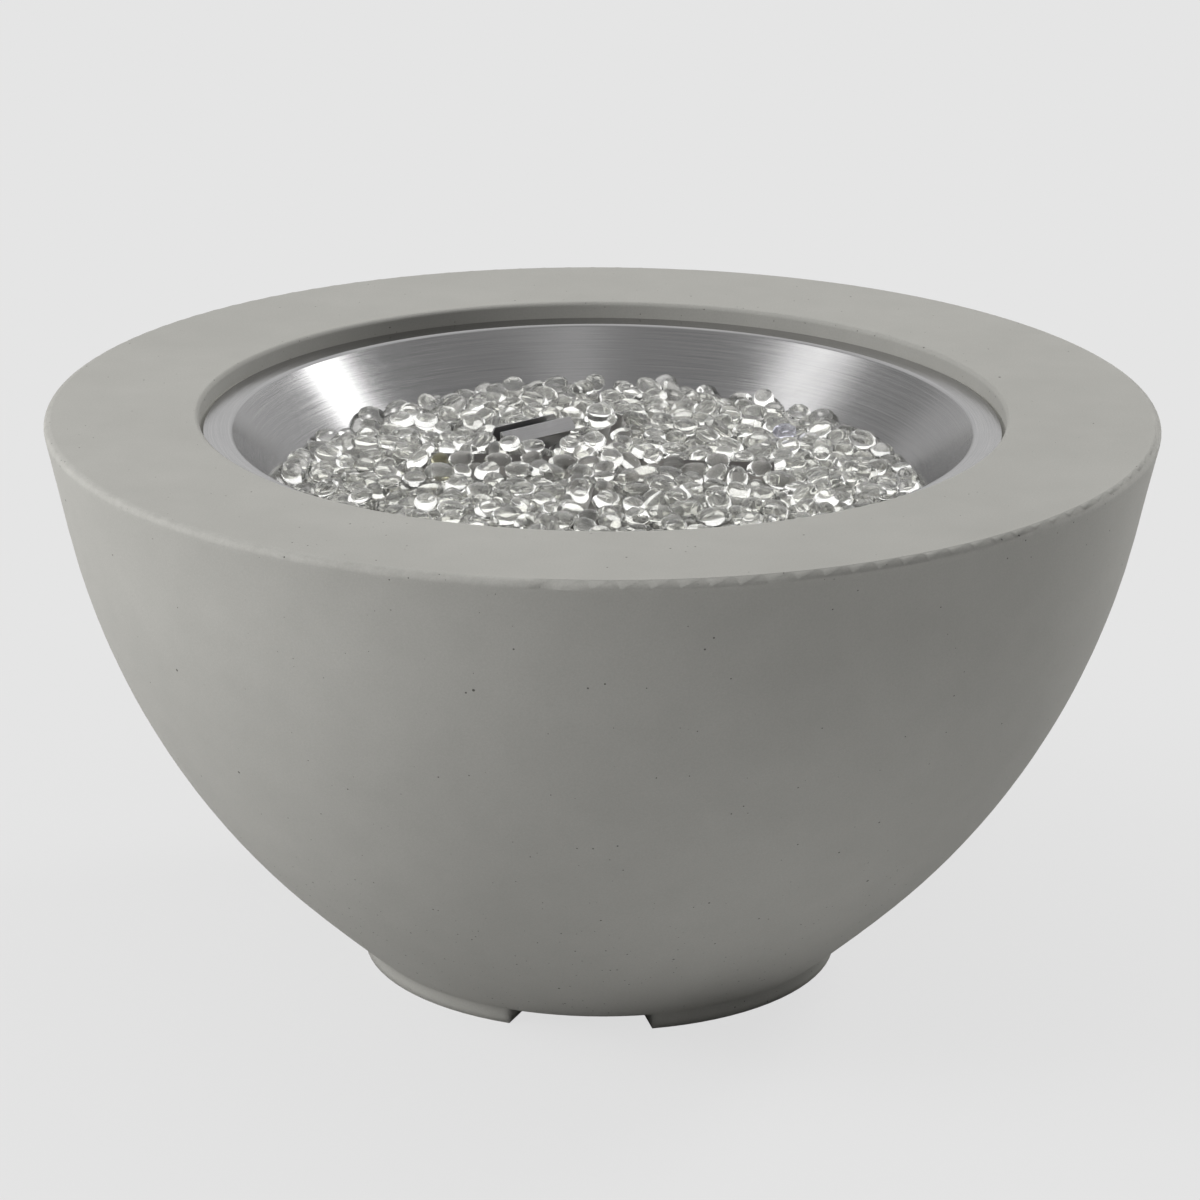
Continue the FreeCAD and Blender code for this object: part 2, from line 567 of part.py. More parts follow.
def bowl_profile(body):
    """Half section of the casting, with the inner wall concentric to the outer."""
    sketch = sketch_on(body, "XZ_Plane")
    high = number("bowl_height")
    wall = number("wall")
    depths = [number("slope_depth"), number("bowl_height - heel_top"), number("bowl_height - foot_height")]
    outside = []
    inside = []
    for depth in depths:
        radius, slope = outer_wall(depth)
        outside.append(Vector(radius, high - depth, 0))
        inside.append(Vector(radius - wall * math.cos(slope), high - depth + wall * math.sin(slope), 0))
    belly, heel = belly_arc()[0], number("heel_radius")
    slopes = [outer_wall(depth)[1] for depth in depths]
    centre = outside[0] - Vector(math.cos(slopes[0]), -math.sin(slopes[0]), 0) * belly
    heel_centre = outside[1] - Vector(math.cos(slopes[1]), -math.sin(slopes[1]), 0) * heel
    floor_top = number("foot_height + floor_thick")
    inner_heel = heel - wall
    floor_angle = math.asin((floor_top - heel_centre.y) / inner_heel)
    floor_edge = Vector(heel_centre.x + inner_heel * math.cos(floor_angle), floor_top, 0)
    haunch_up = number("bowl_height - haunch_depth") - inside[0].y
    haunch = inside[0] + Vector(haunch_up * math.tan(slopes[0]), haunch_up, 0)
    ring_inner = outside[2].x - number("foot_width")
    lip = number("well_radius - seat_width")

    def corner(x, y):
        return Vector(x, number(y), 0)

    def arc(middle, radius, start, end):
        sweep = Part.Circle(middle, Vector(0, 0, 1), radius)
        angles = sorted(math.atan2(p.y - middle.y, p.x - middle.x) for p in (start, end))
        return Part.ArcOfCircle(sweep, angles[0], angles[1])

    well = number("well_radius")
    line = Part.LineSegment
    shapes = [
        line(corner(well, "bowl_height"), corner(number("rim_radius"), "bowl_height")),
        line(corner(number("rim_radius"), "bowl_height"), outside[0]),
        arc(centre, belly, outside[0], outside[1]),
        arc(heel_centre, heel, outside[1], outside[2]),
        line(outside[2], corner(outside[2].x, "0")),
        line(corner(outside[2].x, "0"), corner(ring_inner, "0")),
        line(corner(ring_inner, "0"), corner(ring_inner, "foot_height")),
        line(corner(ring_inner, "foot_height"), corner(number("floor_opening"), "foot_height")),
        line(corner(number("floor_opening"), "foot_height"), Vector(number("floor_opening"), floor_top, 0)),
        line(Vector(number("floor_opening"), floor_top, 0), floor_edge),
        arc(heel_centre, inner_heel, floor_edge, inside[1]),
        arc(centre, belly - wall, inside[1], inside[0]),
        line(inside[0], haunch),
        line(haunch, corner(lip, "bowl_height - rim_thick")),
        line(corner(lip, "bowl_height - rim_thick"), corner(lip, "bowl_height - seat_drop")),
        line(corner(lip, "bowl_height - seat_drop"), corner(well, "bowl_height - seat_drop")),
        line(corner(well, "bowl_height - seat_drop"), corner(well, "bowl_height")),
    ]
    for shape in shapes:
        sketch.addGeometry(shape)
    (top, slope, outer_belly, heel_arc, foot, tread, ring, under, opening, floor,
     inner_heel_arc, inner_belly_arc, inner_slope, haunch_line, lip_line, seat, well_line) = range(17)

    def join(first, first_end, second, second_end, kind="Coincident"):
        sketch.addConstraint(Sketcher.Constraint(kind, first, first_end, second, second_end))

    # An arc runs anticlockwise, so the outer arcs are met at their second end
    join(top, 2, slope, 1)
    join(slope, 2, outer_belly, 2, "Tangent")
    join(outer_belly, 1, heel_arc, 2, "Tangent")
    join(heel_arc, 1, foot, 1)
    for first, second in ((foot, tread), (tread, ring), (ring, under), (under, opening), (opening, floor)):
        join(first, 2, second, 1)
    join(floor, 2, inner_heel_arc, 1)
    join(inner_heel_arc, 2, inner_belly_arc, 1, "Tangent")
    join(inner_belly_arc, 2, inner_slope, 1, "Tangent")
    for first, second in ((inner_slope, haunch_line), (haunch_line, lip_line), (lip_line, seat),
                          (seat, well_line)):
        join(first, 2, second, 1)
    join(well_line, 2, top, 1)
    join(outer_belly, 3, inner_belly_arc, 3)
    join(heel_arc, 3, inner_heel_arc, 3)
    for flat in (top, tread, under, floor, seat):
        sketch.addConstraint(Sketcher.Constraint("Horizontal", flat))
    for upright in (foot, ring, opening, lip_line, well_line):
        sketch.addConstraint(Sketcher.Constraint("Vertical", upright))
    sketch.addConstraint(Sketcher.Constraint("Parallel", slope, inner_slope))
    pin_point(sketch, slope, 1, "rim_radius", "bowl_height")
    fix(sketch, "DistanceX", -1, 1, well_line, 1, to="well_radius")
    pin_point(sketch, slope, 2, "rim_radius - slope_depth * tan(wall_slope)", "bowl_height - slope_depth")
    pin_point(sketch, outer_belly, 1, "heel_top_radius", "heel_top")
    fix(sketch, "Radius", heel_arc, to="heel_radius")
    fix(sketch, "Distance", inner_slope, 1, slope, to="wall")
    fix(sketch, "DistanceY", -1, 1, heel_arc, 1, to="foot_height")
    fix(sketch, "DistanceY", -1, 1, tread, 1, to="0")
    fix(sketch, "DistanceX", tread, 2, tread, 1, to="foot_width")
    fix(sketch, "DistanceY", -1, 1, ring, 2, to="foot_height")
    fix(sketch, "DistanceX", -1, 1, opening, 1, to="floor_opening")
    fix(sketch, "DistanceY", -1, 1, opening, 2, to="foot_height + floor_thick")
    fix(sketch, "DistanceY", haunch_line, 1, top, 1, to="haunch_depth")
    fix(sketch, "DistanceX", seat, 1, seat, 2, to="seat_width")
    fix(sketch, "DistanceY", lip_line, 1, top, 1, to="rim_thick")
    fix(sketch, "DistanceY", seat, 1, top, 1, to="seat_drop")
    return sketch


def concrete_bowl():
    body = new_body("concrete_bowl")
    revolve(body, bowl_profile(body))
    round_edges(body, "rim_round", ring_edge("rim_radius", "bowl_height"))
    round_edges(body, "well_round", ring_edge("well_radius", "bowl_height"))

    # Notches with radial ends divide the foot ring into feet
    notch = sketch_on(body)
    sine, cosine = "rim_radius * sin(notch_angle / 2)", "rim_radius * cos(notch_angle / 2)"
    polygon(notch, [("0", "0"), ("-" + sine, "-" + cosine), (sine, "-" + cosine)])
    cut = pocket(body, notch, "foot_height", reverse=True)
    feet = body.newObject("PartDesign::PolarPattern", "feet_pattern")
    feet.Originals = [cut]
    feet.Axis = (notch, ["N_Axis"])
    feet.Angle = 360
    link(feet, "Occurrences", "feet")
    finish(body, feet)

    # Flat boss inside the rear wall, then the recess outside it
    boss = sketch_on(body, offset=CONTROLS)
    stadium(boss, "recess_half_length + boss_margin", "recess_half_width + boss_margin")
    pad(body, boss, "control_web", reverse=True)
    recess = sketch_on(body, offset=CONTROLS)
    stadium(recess, "recess_half_length", "recess_half_width")
    pocket(body, recess, "4 * recess_depth", reverse=True)

    holes = sketch_on(body, offset=CONTROLS)
    circle(holes, "valve_x", "0", "shaft_hole")
    circle(holes, "igniter_x", "0", "barrel_radius + hole_gap")
    pocket(body, holes, "control_web + wall")

    inner_face = at(CONTROLS, z="-control_web")
    inserts = sketch_on(body, offset=inner_face)
    for side in ("", "-"):
        circle(inserts, "valve_x", side + "bracket_screw_y", "insert_radius")
    pocket(body, inserts, "insert_length", reverse=True)

    anchors = sketch_on(body, offset=at(WORLD, z="foot_height + floor_thick"))
    for x in ("", "-"):
        for y in ("", "-"):
            circle(anchors, x + "bridge_screw_x", y + "bridge_screw_y", "insert_radius")
    pocket(body, anchors, "insert_length")
    return node(body, "concrete_bowl")


def cast_inserts():
    outline = tube_outline("insert_radius", "bolt_radius + thread_gap", "0", "insert_length")
    bodies = [turned("wall_insert", outline, at(VALVE, y=side + "bracket_screw_y", z="-control_web"))
              for side in ("", "-")]
    floor_top = "foot_height + floor_thick - insert_length"
    bodies += [turned("floor_insert", outline,
                      at(WORLD, x + "bridge_screw_x", y + "bridge_screw_y", floor_top))
               for x in ("", "-") for y in ("", "-")]
    return group("cast_in_inserts", bodies)


# ----------------------------------------------------- burner pan and burner

def burner_pan():
    body = new_body("burner_pan")
    sketch = sketch_on(body, "XZ_Plane")
    shift = "pan_sheet * tan(pan_angle / 2)"
    flange_radius = "well_radius - pan_gap"
    polygon(sketch, [
        ("0", "0"),
        ("pan_floor_radius", "0"),
        ("pan_bend_radius", "pan_depth"),
        (flange_radius, "pan_depth"),
        (flange_radius, "pan_depth - pan_sheet"),
        ("pan_bend_radius + " + shift, "pan_depth - pan_sheet"),
        ("pan_floor_radius + " + shift, "-pan_sheet"),
        ("0", "-pan_sheet"),
    ])
    revolve(body, sketch)
    round_edges(body, "pan_bead", ring_edge("pan_bend_radius", "pan_depth"))
    round_edges(body, "pan_bead - pan_sheet",
                ring_edge("pan_bend_radius + " + shift, "pan_depth - pan_sheet"))
    round_edges(body, "pan_corner", ring_edge("pan_floor_radius", "0"))
    round_edges(body, "pan_corner + pan_sheet", ring_edge("pan_floor_radius + " + shift, "-pan_sheet"))

    centre = sketch_on(body)
    circle(centre, "0", "0", "pipe_radius + hole_gap")
    for angle in (45, 135, 225, 315):
        weep_circle = "(pan_floor_radius - weep_margin)"
        circle(centre, "%s * cos(%d)" % (weep_circle, angle), "%s * sin(%d)" % (weep_circle, angle),
               "weep_radius")
    pocket(body, centre, "pan_sheet")
    guard_holes = sketch_on(body, offset=PAN.inverse().multiply(GUARD))
    for x, radius in guard_hole_list():
        circle(guard_holes, x, "0", radius)
    pocket(body, guard_holes, "pan_sheet")
    body.Placement = PAN
    return node(body, "burner_pan")


def guard_hole_list():
    """The holes that the guard, the pan and the clamp plate share, along the guard."""
    return [
        ("guard_screw_x", "screw_radius + hole_gap"),
        ("-guard_screw_x", "screw_radius + hole_gap"),
        ("electrode_x", "insulator_radius + hole_gap"),
        ("probe_x", "probe_radius + hole_gap"),
    ]


def house(sketch, grow, low):
    """End view of a burner arm: two side walls under a ridge, grown by an offset."""
    half = "(arm_width / 2 + (%s))" % grow
    polygon(sketch, [("-" + half, low), (half, low), (half, "arm_wall"),
                     ("0", "arm_peak + (%s)" % grow), ("-" + half, "arm_wall")])


def burner_arms(body, grow, low, shorten, make):
    """Runs one feature along both arms of the cross."""
    for role in ("XZ_Plane", "YZ_Plane"):
        sketch = sketch_on(body, role)
        house(sketch, grow, low)
        make(body, sketch, "2 * (arm_reach + (%s))" % shorten, both_ways=True)


def burner_cross():
    body = new_body("burner_cross")
    burner_arms(body, "0", "0", "0", pad)
    burner_arms(body, "-arm_sheet", "arm_sheet", "-arm_sheet", pocket)
    inlet = sketch_on(body)
    circle(inlet, "0", "0", "pipe_radius")
    pocket(body, inlet, "arm_sheet", reverse=True)

    # Ports in rows along both side walls of each arm
    for role in ("XZ_Plane", "YZ_Plane"):
        ports = sketch_on(body, role)
        for side in ("", "-"):
            for i in range(int(number("port_count"))):
                circle(ports, "%s(port_first + %d * port_pitch)" % (side, i), "port_height", "port_radius")
        pocket(body, ports, "arm_width + 2 * port_radius", both_ways=True)
    body.Placement = PAN
    return node(body, "burner_cross")


def burner_nipple():
    place = at(PAN, z="-nipple_drop")
    body = turned("burner_nipple", tube_outline("pipe_radius", "pipe_bore", "0", "nipple_drop + arm_sheet"),
                  place)
    return node(body, "burner_nipple")


def nipple_nut():
    place = at(PAN, z="-pan_sheet - nut_thick")
    return node(nut("nipple_nut", "nut_flats", "pipe_radius + thread_gap", "nut_thick", place), "nipple_nut")


def cylinder(name, radius, height, place):
    shape = DOC.addObject("Part::Cylinder", name)
    link(shape, "Radius", radius)
    link(shape, "Height", height)
    shape.Placement = place
    return shape


def burner_elbow():
    """Brass elbow: the nipple enters from above, the air mixer from behind."""
    level = at(PAN, z="-elbow_drop")
    rise = "elbow_drop - nipple_drop + thread_grip"
    upright = cylinder("elbow_upright", "elbow_radius", rise, level)
    arm = cylinder("elbow_arm", "elbow_radius", "elbow_reach", at(level, turn=BEHIND))
    ball = DOC.addObject("Part::Sphere", "elbow_ball")
    link(ball, "Radius", "elbow_radius")
    ball.Placement = level
    body = DOC.addObject("Part::MultiFuse", "elbow_body")
    body.Shapes = [upright, arm, ball]
    top_socket = cylinder("elbow_top_socket", "pipe_radius + thread_gap", "thread_grip + 1",
                          at(level, z="elbow_drop - nipple_drop"))
    rear_socket = cylinder("elbow_rear_socket", "pipe_radius + thread_gap", "thread_grip + 1",
                           at(level, y="elbow_reach - thread_grip", turn=BEHIND))
    top_way = cylinder("elbow_top_way", "pipe_bore", rise, level)
    rear_way = cylinder("elbow_rear_way", "pipe_bore", "elbow_reach", at(level, turn=BEHIND))
    ways = DOC.addObject("Part::MultiFuse", "elbow_ways")
    ways.Shapes = [top_socket, rear_socket, top_way, rear_way]
    elbow = DOC.addObject("Part::Cut", "elbow_cut")
    elbow.Base = body
    elbow.Tool = ways
    elbow.Refine = True
    DOC.recompute()
    return node(elbow, "burner_elbow")


def mixer_frame():
    """The mixer's axis, from the elbow's mouth towards the rear."""
    return at(PAN, y="elbow_reach", z="-elbow_drop", turn=BEHIND)


def air_mixer():
    """Brass venturi: thread into the elbow, slotted barrel, male flare end."""
    body = turned("air_mixer", [
        ("pipe_bore", "-thread_grip"),
        ("pipe_radius", "-thread_grip"),
        ("pipe_radius", "0"),
        ("mixer_radius", "2"),
        ("mixer_radius", "mixer_length"),
        ("flare_radius", "mixer_length"),
        ("flare_radius", "mixer_length + flare_length"),
        ("flare_bore", "mixer_length + flare_length"),
        ("flare_bore", "mixer_length - jet_inset"),
        ("jet_radius + thread_gap", "mixer_length - jet_inset"),
        ("jet_radius + thread_gap", "mixer_length - jet_inset - jet_seat"),
        ("mixer_radius - mixer_skin", "mixer_length - jet_inset - jet_seat"),
        ("mixer_radius - mixer_skin", "mixer_skin + 1.15 * mixer_throat"),
        ("pipe_bore", "mixer_skin + 0.15 * mixer_throat"),
    ])
    slots = sketch_on(body, "XZ_Plane")
    low = "mixer_length - 2.2 * jet_seat - mixer_slot_length"
    rectangle(slots, "-mixer_slot_half", "mixer_slot_half", low, low + " + mixer_slot_length")
    pocket(body, slots, "2 * mixer_radius + 2", both_ways=True)
    body.Placement = mixer_frame()
    return node(body, "air_mixer")


def gas_jet():
    shoulder = "mixer_length - jet_inset - jet_seat"
    body = turned("gas_jet", [
        ("jet_bore", shoulder + " - jet_nose"),
        ("jet_radius - 2", shoulder + " - jet_nose"),
        ("jet_radius - 2", shoulder),
        ("jet_radius", shoulder),
        ("jet_radius", "mixer_length - jet_inset"),
        ("flare_bore - 1", "mixer_length - jet_inset"),
        ("flare_bore - 1", shoulder + " + 1"),
        ("jet_bore", shoulder + " - 1"),
    ], mixer_frame())
    return node(body, "gas_jet")


def flare_nut(name, place):
    """Long hexagon nut over a male flare end at its own Z = 0, holding the line above it."""
    body = new_body(name)
    sketch = sketch_on(body)
    hexagon(sketch, "line_nut_flats")
    pad(body, sketch, "line_nut_length")
    bore = sketch_on(body)
    circle(bore, "0", "0", "line_radius + hole_gap")
    pocket(body, bore, "line_nut_length", reverse=True)
    thread = sketch_on(body)
    circle(thread, "0", "0", "flare_radius + thread_gap")
    pocket(body, thread, "flare_length + 0.5", reverse=True)
    body.Placement = place
    return body


# ------------------------------------------------ igniter guard in the glass

def igniter_guard():
    """Open-topped trough of folded sheet with a lip turned out at the front."""
    body = new_body("igniter_guard")
    half_length, half_width = "guard_length / 2", "guard_width / 2"
    block = sketch_on(body)
    rectangle(block, "-" + half_length, half_length, "-" + half_width, half_width)
    pad(body, block, "guard_height")
    top = at(WORLD, z="guard_height")
    hollow = sketch_on(body, offset=top)
    inner_length, inner_width = "(guard_length / 2 - guard_sheet)", "(guard_width / 2 - guard_sheet)"
    rectangle(hollow, "-" + inner_length, inner_length, "-" + inner_width, inner_width)
    pocket(body, hollow, "guard_height - guard_sheet")
    dip = sketch_on(body, offset=top)
    rectangle(dip, "-" + half_length + " - 1", half_length + " + 1", "-" + inner_width, inner_width)
    pocket(body, dip, "guard_dip")

    # The rear wall is cut back at both top corners
    corners = sketch_on(body, "XZ_Plane")
    for side in ("", "-"):
        polygon(corners, [(side + half_length, "guard_height"),
                          (side + "(guard_length / 2 - guard_dip / 2)", "guard_height"),
                          (side + half_length, "guard_height - guard_dip")])
    pocket(body, corners, half_width + " + 1")

    lip = sketch_on(body, "YZ_Plane")
    front, inner = "-guard_width / 2", "(-guard_width / 2 + guard_sheet)"
    tip_y, tip_z = "(%s - guard_lip * cos(45))" % front, "(guard_height - guard_lip * sin(45))"
    fold = "guard_sheet * cos(45)"
    polygon(lip, [
        (inner, "guard_height"),
        (front, "guard_height"),
        (tip_y, tip_z),
        ("%s + %s" % (tip_y, fold), "%s - %s" % (tip_z, fold)),
        (front, "guard_height - guard_sheet / cos(45)"),
        (inner, "guard_height - guard_sheet / cos(45)"),
    ])
    pad(body, lip, "guard_length", both_ways=True)
    tip = Vector(0, number(tip_y), number(tip_z))

    def lip_corner(edge):
        middle = edge.CenterOfMass
        near_tip = math.hypot(middle.y - tip.y, middle.z - tip.z) < number("guard_sheet")
        return near_tip and edge.Length < 2 * number("guard_sheet")

    round_edges(body, "guard_lip / 3", lip_corner)
    holes = sketch_on(body)
    for x, radius in guard_hole_list():
        circle(holes, x, "0", radius)
    pocket(body, holes, "guard_sheet", reverse=True)

    # Gas reaches the spark through a row of holes in the front wall
    vents = sketch_on(body, "XZ_Plane")
    for i in range(-2, 3):
        circle(vents, "%d * guard_length / 7" % i, "guard_height / 2", "port_radius")
    pocket(body, vents, half_width + " + 1")
    body.Placement = GUARD
    return node(body, "igniter_guard")


def clamp_plate():
    """Plate under the pan that takes the guard's screws."""
    def outline(sketch):
        stadium(sketch, "guard_length / 2", "guard_width / 2")

    holes = [(x, "0", radius) for x, radius in guard_hole_list()]
    body = plate("clamp_plate", "clamp_sheet", outline, holes, at(GUARD, z="-pan_sheet - clamp_sheet"))
    return node(body, "clamp_plate")


def screw(name, radius, head, head_high, length, place):
    """Pan-head screw, head above Z = 0, with a rounded crown."""
    body = turned(name, [
        ("0", "-(%s)" % length),
        (radius, "-(%s)" % length),
        (radius, "0"),
        (head, "0"),
        (head, "%s * 0.45" % head_high),
        ("%s * 0.7" % head, "%s * 0.9" % head_high),
        ("%s * 0.35" % head, head_high),
        ("0", head_high),
    ], place)
    drive = sketch_on(body, offset=at(WORLD, z=head_high))
    wide, narrow = "%s * 0.55" % head, "%s * 0.12" % head
    rectangle(drive, "-" + wide, wide, "-" + narrow, narrow)
    pocket(body, drive, "%s * 0.5" % head_high)
    cross = sketch_on(body, offset=at(WORLD, z=head_high))
    rectangle(cross, "-" + narrow, narrow, "-" + wide, wide)
    pocket(body, cross, "%s * 0.5" % head_high)
    return body


def guard_screws():
    length = "guard_sheet + pan_sheet + clamp_sheet + small_nut_thick + 2"
    bodies = [screw("guard_screw", "screw_radius", "screw_head", "screw_head_high", length,
                    at(GUARD, x=side + "guard_screw_x", z="guard_sheet")) for side in ("", "-")]
    return group("guard_screws", bodies)


def guard_nuts():
    low = "-pan_sheet - clamp_sheet - small_nut_thick"
    bodies = [nut("guard_nut", "small_nut_flats", "screw_radius + thread_gap", "small_nut_thick",
                  at(GUARD, x=side + "guard_screw_x", z=low)) for side in ("", "-")]
    return group("guard_nuts", bodies)


def electrode_insulator():
    """Stepped ceramic with its collar on the guard's floor."""
    collar = "guard_width / 2 - guard_sheet - 0.3"
    neck = "insulator_radius - 0.6"
    body = turned("electrode_insulator", [
        ("rod_radius + 0.02", "-insulator_drop"),
        ("insulator_radius", "-insulator_drop"),
        ("insulator_radius", "guard_sheet"),
        (collar, "guard_sheet"),
        (collar, "guard_sheet + 3.5"),
        (neck, "guard_sheet + 4.5"),
        (neck, "guard_height - 2 * tip_drop"),
        ("insulator_radius - 1.6", "guard_height - 2 * tip_drop + 1"),
        ("rod_radius + 0.02", "guard_height - 2 * tip_drop + 1"),
    ], at(GUARD, x="electrode_x"))
    return node(body, "electrode_insulator")


def spark_electrode():
    """Bent rod: up through the ceramic, then over towards the thermocouple."""
    body = new_body("spark_electrode")
    rod = sketch_on(body, offset=at(WORLD, z="-rod_drop"))
    circle(rod, "0", "0", "rod_radius")
    path = sketch_on(body, "XZ_Plane")
    low = -number("rod_drop")
    bend = number("rod_bend")
    top = number("guard_height - tip_drop")
    path.addGeometry(Part.LineSegment(Vector(0, low, 0), Vector(0, top - bend, 0)))
    path.addGeometry(Part.ArcOfCircle(Part.Circle(Vector(bend, top - bend, 0), Vector(0, 0, 1), bend),
                                      math.pi / 2, math.pi))
    path.addGeometry(Part.LineSegment(Vector(bend, top, 0), Vector(number("rod_reach"), top, 0)))
    path.addConstraint(Sketcher.Constraint("Tangent", 0, 2, 1, 2))
    path.addConstraint(Sketcher.Constraint("Tangent", 1, 1, 2, 1))
    path.addConstraint(Sketcher.Constraint("Vertical", 0))
    path.addConstraint(Sketcher.Constraint("Horizontal", 2))
    pin_point(path, 0, 1, "0", "-rod_drop")
    pin_point(path, 2, 2, "rod_reach", "guard_height - tip_drop")
    fix(path, "Radius", 1, to="rod_bend")
    pipe = body.newObject("PartDesign::AdditivePipe", "electrode_pipe")
    pipe.Profile = rod
    pipe.Spine = (path, [])
    finish(body, pipe)
    body.Placement = at(GUARD, x="electrode_x")
    return node(body, "spark_electrode")


def thermocouple_probe():
    """Sheathed probe on a collar, with its thin tip under the spark."""
    collar = "probe_radius + 1.8"
    tip = "probe_radius - 0.9"
    body = turned("thermocouple_probe", [
        ("0", "-probe_drop"),
        ("probe_radius", "-probe_drop"),
        ("probe_radius", "guard_sheet"),
        (collar, "guard_sheet"),
        (collar, "guard_sheet + 2.5"),
        ("probe_radius", "guard_sheet + 2.5"),
        ("probe_radius", "guard_height - 2 * tip_drop"),
        (tip, "guard_height - 2 * tip_drop + 1"),
        (tip, "guard_height - tip_drop - 1.5"),
        (tip + " - 0.9", "guard_height - tip_drop"),
        ("0", "guard_height - tip_drop"),
    ], at(GUARD, x="probe_x"))
    return node(body, "thermocouple_probe")


def retaining_clips():
    """Spring clips under the clamp plate that stop the two probes lifting out."""
    low = "-pan_sheet - clamp_sheet - 1"
    bodies = []
    for x, radius in (("electrode_x", "insulator_radius"), ("probe_x", "probe_radius")):
        outline = tube_outline(radius + " + 3", radius + " + thread_gap", "0", "1")
        clip = turned("retaining_clip", outline)
        gap = sketch_on(clip)
        rectangle(gap, "0", radius + " + 4", "-1.5", "1.5")
        pocket(clip, gap, "1", reverse=True)
        clip.Placement = at(GUARD, x=x, z=low)
        bodies.append(clip)
    return group("retaining_clips", bodies)


# --------------------------------------------------------------- gas valve

def valve_bracket():
    """Steel strap across the inner boss that carries the valve."""
    def outline(sketch):
        rectangle(sketch, "-bracket_half_width", "bracket_half_width",
                  "-bracket_half_length", "bracket_half_length")

    holes = [("0", "0", "bonnet_radius + hole_gap"),
             ("0", "bracket_screw_y", "bolt_radius + hole_gap"),
             ("0", "-bracket_screw_y", "bolt_radius + hole_gap")]
    body = plate("valve_bracket", "bracket_sheet", outline, holes,
                 at(VALVE, z="-control_web - bracket_sheet"))
    return node(body, "valve_bracket")


BRACKET_BACK = "(-control_web - bracket_sheet)"


def bracket_screws():
    """Bolts from inside the bowl into the cast-in inserts."""
    turn = Rotation(Vector(1, 0, 0), 180)
    bodies = [screw("bracket_screw", "bolt_radius", "bolt_head", "bolt_head_high",
                    "bracket_sheet + insert_length - 1",
                    at(VALVE, y=side + "bracket_screw_y", z=BRACKET_BACK, turn=turn))
              for side in ("", "-")]
    return group("bracket_screws", bodies)


def valve_body():
    """Brass safety valve: rear outlet, inlet from below, magnet housing on top."""
    body = new_body("valve_body")
    back = BRACKET_BACK
    profile = sketch_on(body, "XZ_Plane")
    rear = "(%s - valve_length)" % back
    polygon(profile, [
        ("0", rear + " - flare_length"),
        ("flare_radius", rear + " - flare_length"),
        ("flare_radius", rear),
        ("port_boss_radius + 1", rear),
        ("valve_radius - 2", rear + " + 6"),
        ("valve_radius", rear + " + 12"),
        ("valve_radius", back),
        ("bonnet_radius", back),
        ("bonnet_radius", back + " + bracket_sheet + bonnet_length"),
        ("0", back + " + bracket_sheet + bonnet_length"),
    ])
    revolve(body, profile)
    inlet = sketch_on(body, "XZ_Plane")
    circle(inlet, "0", back + " - inlet_back", "port_boss_radius")
    pad(body, inlet, "port_boss_reach")
    inlet_thread = sketch_on(body, "XZ_Plane")
    circle(inlet_thread, "0", back + " - inlet_back", "flare_radius")
    pad(body, inlet_thread, "port_boss_reach + flare_length")
    magnet = sketch_on(body, "XZ_Plane")
    circle(magnet, "0", back + " - magnet_back", "magnet_radius")
    pad(body, magnet, "port_boss_reach", reverse=True)
    bore = sketch_on(body, offset=at(WORLD, z=back + " + bracket_sheet + bonnet_length"))
    circle(bore, "0", "0", "stem_radius + stem_gap")
    pocket(body, bore, "bonnet_length + bracket_sheet + stem_depth + knob_push + 2")

    # Gas ways
    outlet = sketch_on(body, offset=at(WORLD, z=rear + " - flare_length"))
    circle(outlet, "0", "0", "flare_bore")
    pocket(body, outlet, "flare_length + 6", reverse=True)
    way_in = sketch_on(body, "XZ_Plane", at(WORLD, z="port_boss_reach + flare_length"))
    circle(way_in, "0", back + " - inlet_back", "flare_bore")
    pocket(body, way_in, "flare_length + port_boss_reach - valve_radius")
    body.Placement = VALVE
    return node(body, "valve_body")


def valve_lock_nut():
    place = at(VALVE, z="-control_web")
    body = nut("valve_lock_nut", "valve_nut_flats", "bonnet_radius + thread_gap", "valve_nut_thick", place)
    return node(body, "valve_lock_nut")


def valve_stem():
    """Shaft with a flat for the knob; its lower end runs in the valve's bore."""
    body = turned("valve_stem", tube_outline("stem_radius", "0", BRACKET_BACK + " - stem_depth",
                                             "knob_rise + knob_height - 4"))
    flat = sketch_on(body, offset=at(WORLD, z="knob_rise + knob_height - 4"))
    rectangle(flat, "-stem_radius - 1", "stem_radius + 1", "stem_flat", "stem_radius + 1")
    pocket(body, flat, "knob_height - 4")
    body.Placement = VALVE
    return node(body, "valve_stem")


def spring_cup():
    """Cup pressed down by the knob's hub; the spring stands in its lip."""
    high = "knob_rise - 0.1"
    body = turned("spring_cup", [
        ("stem_radius + stem_gap", high + " - cup_thick"),
        ("cup_radius - 0.8", high + " - cup_thick"),
        ("cup_radius - 0.8", high + " - cup_thick - 1.2"),
        ("cup_radius", high + " - cup_thick - 1.2"),
        ("cup_radius", high),
        ("stem_radius + stem_gap", high),
    ], VALVE)
    return node(body, "spring_cup")


def stem_spring():
    low = BRACKET_BACK + " + bracket_sheet + bonnet_length"
    body = coil("stem_spring", "spring_wire", "stem_coil - 0.8", low, "knob_rise - 0.1 - cup_thick", 5, VALVE)
    return node(body, "stem_spring")


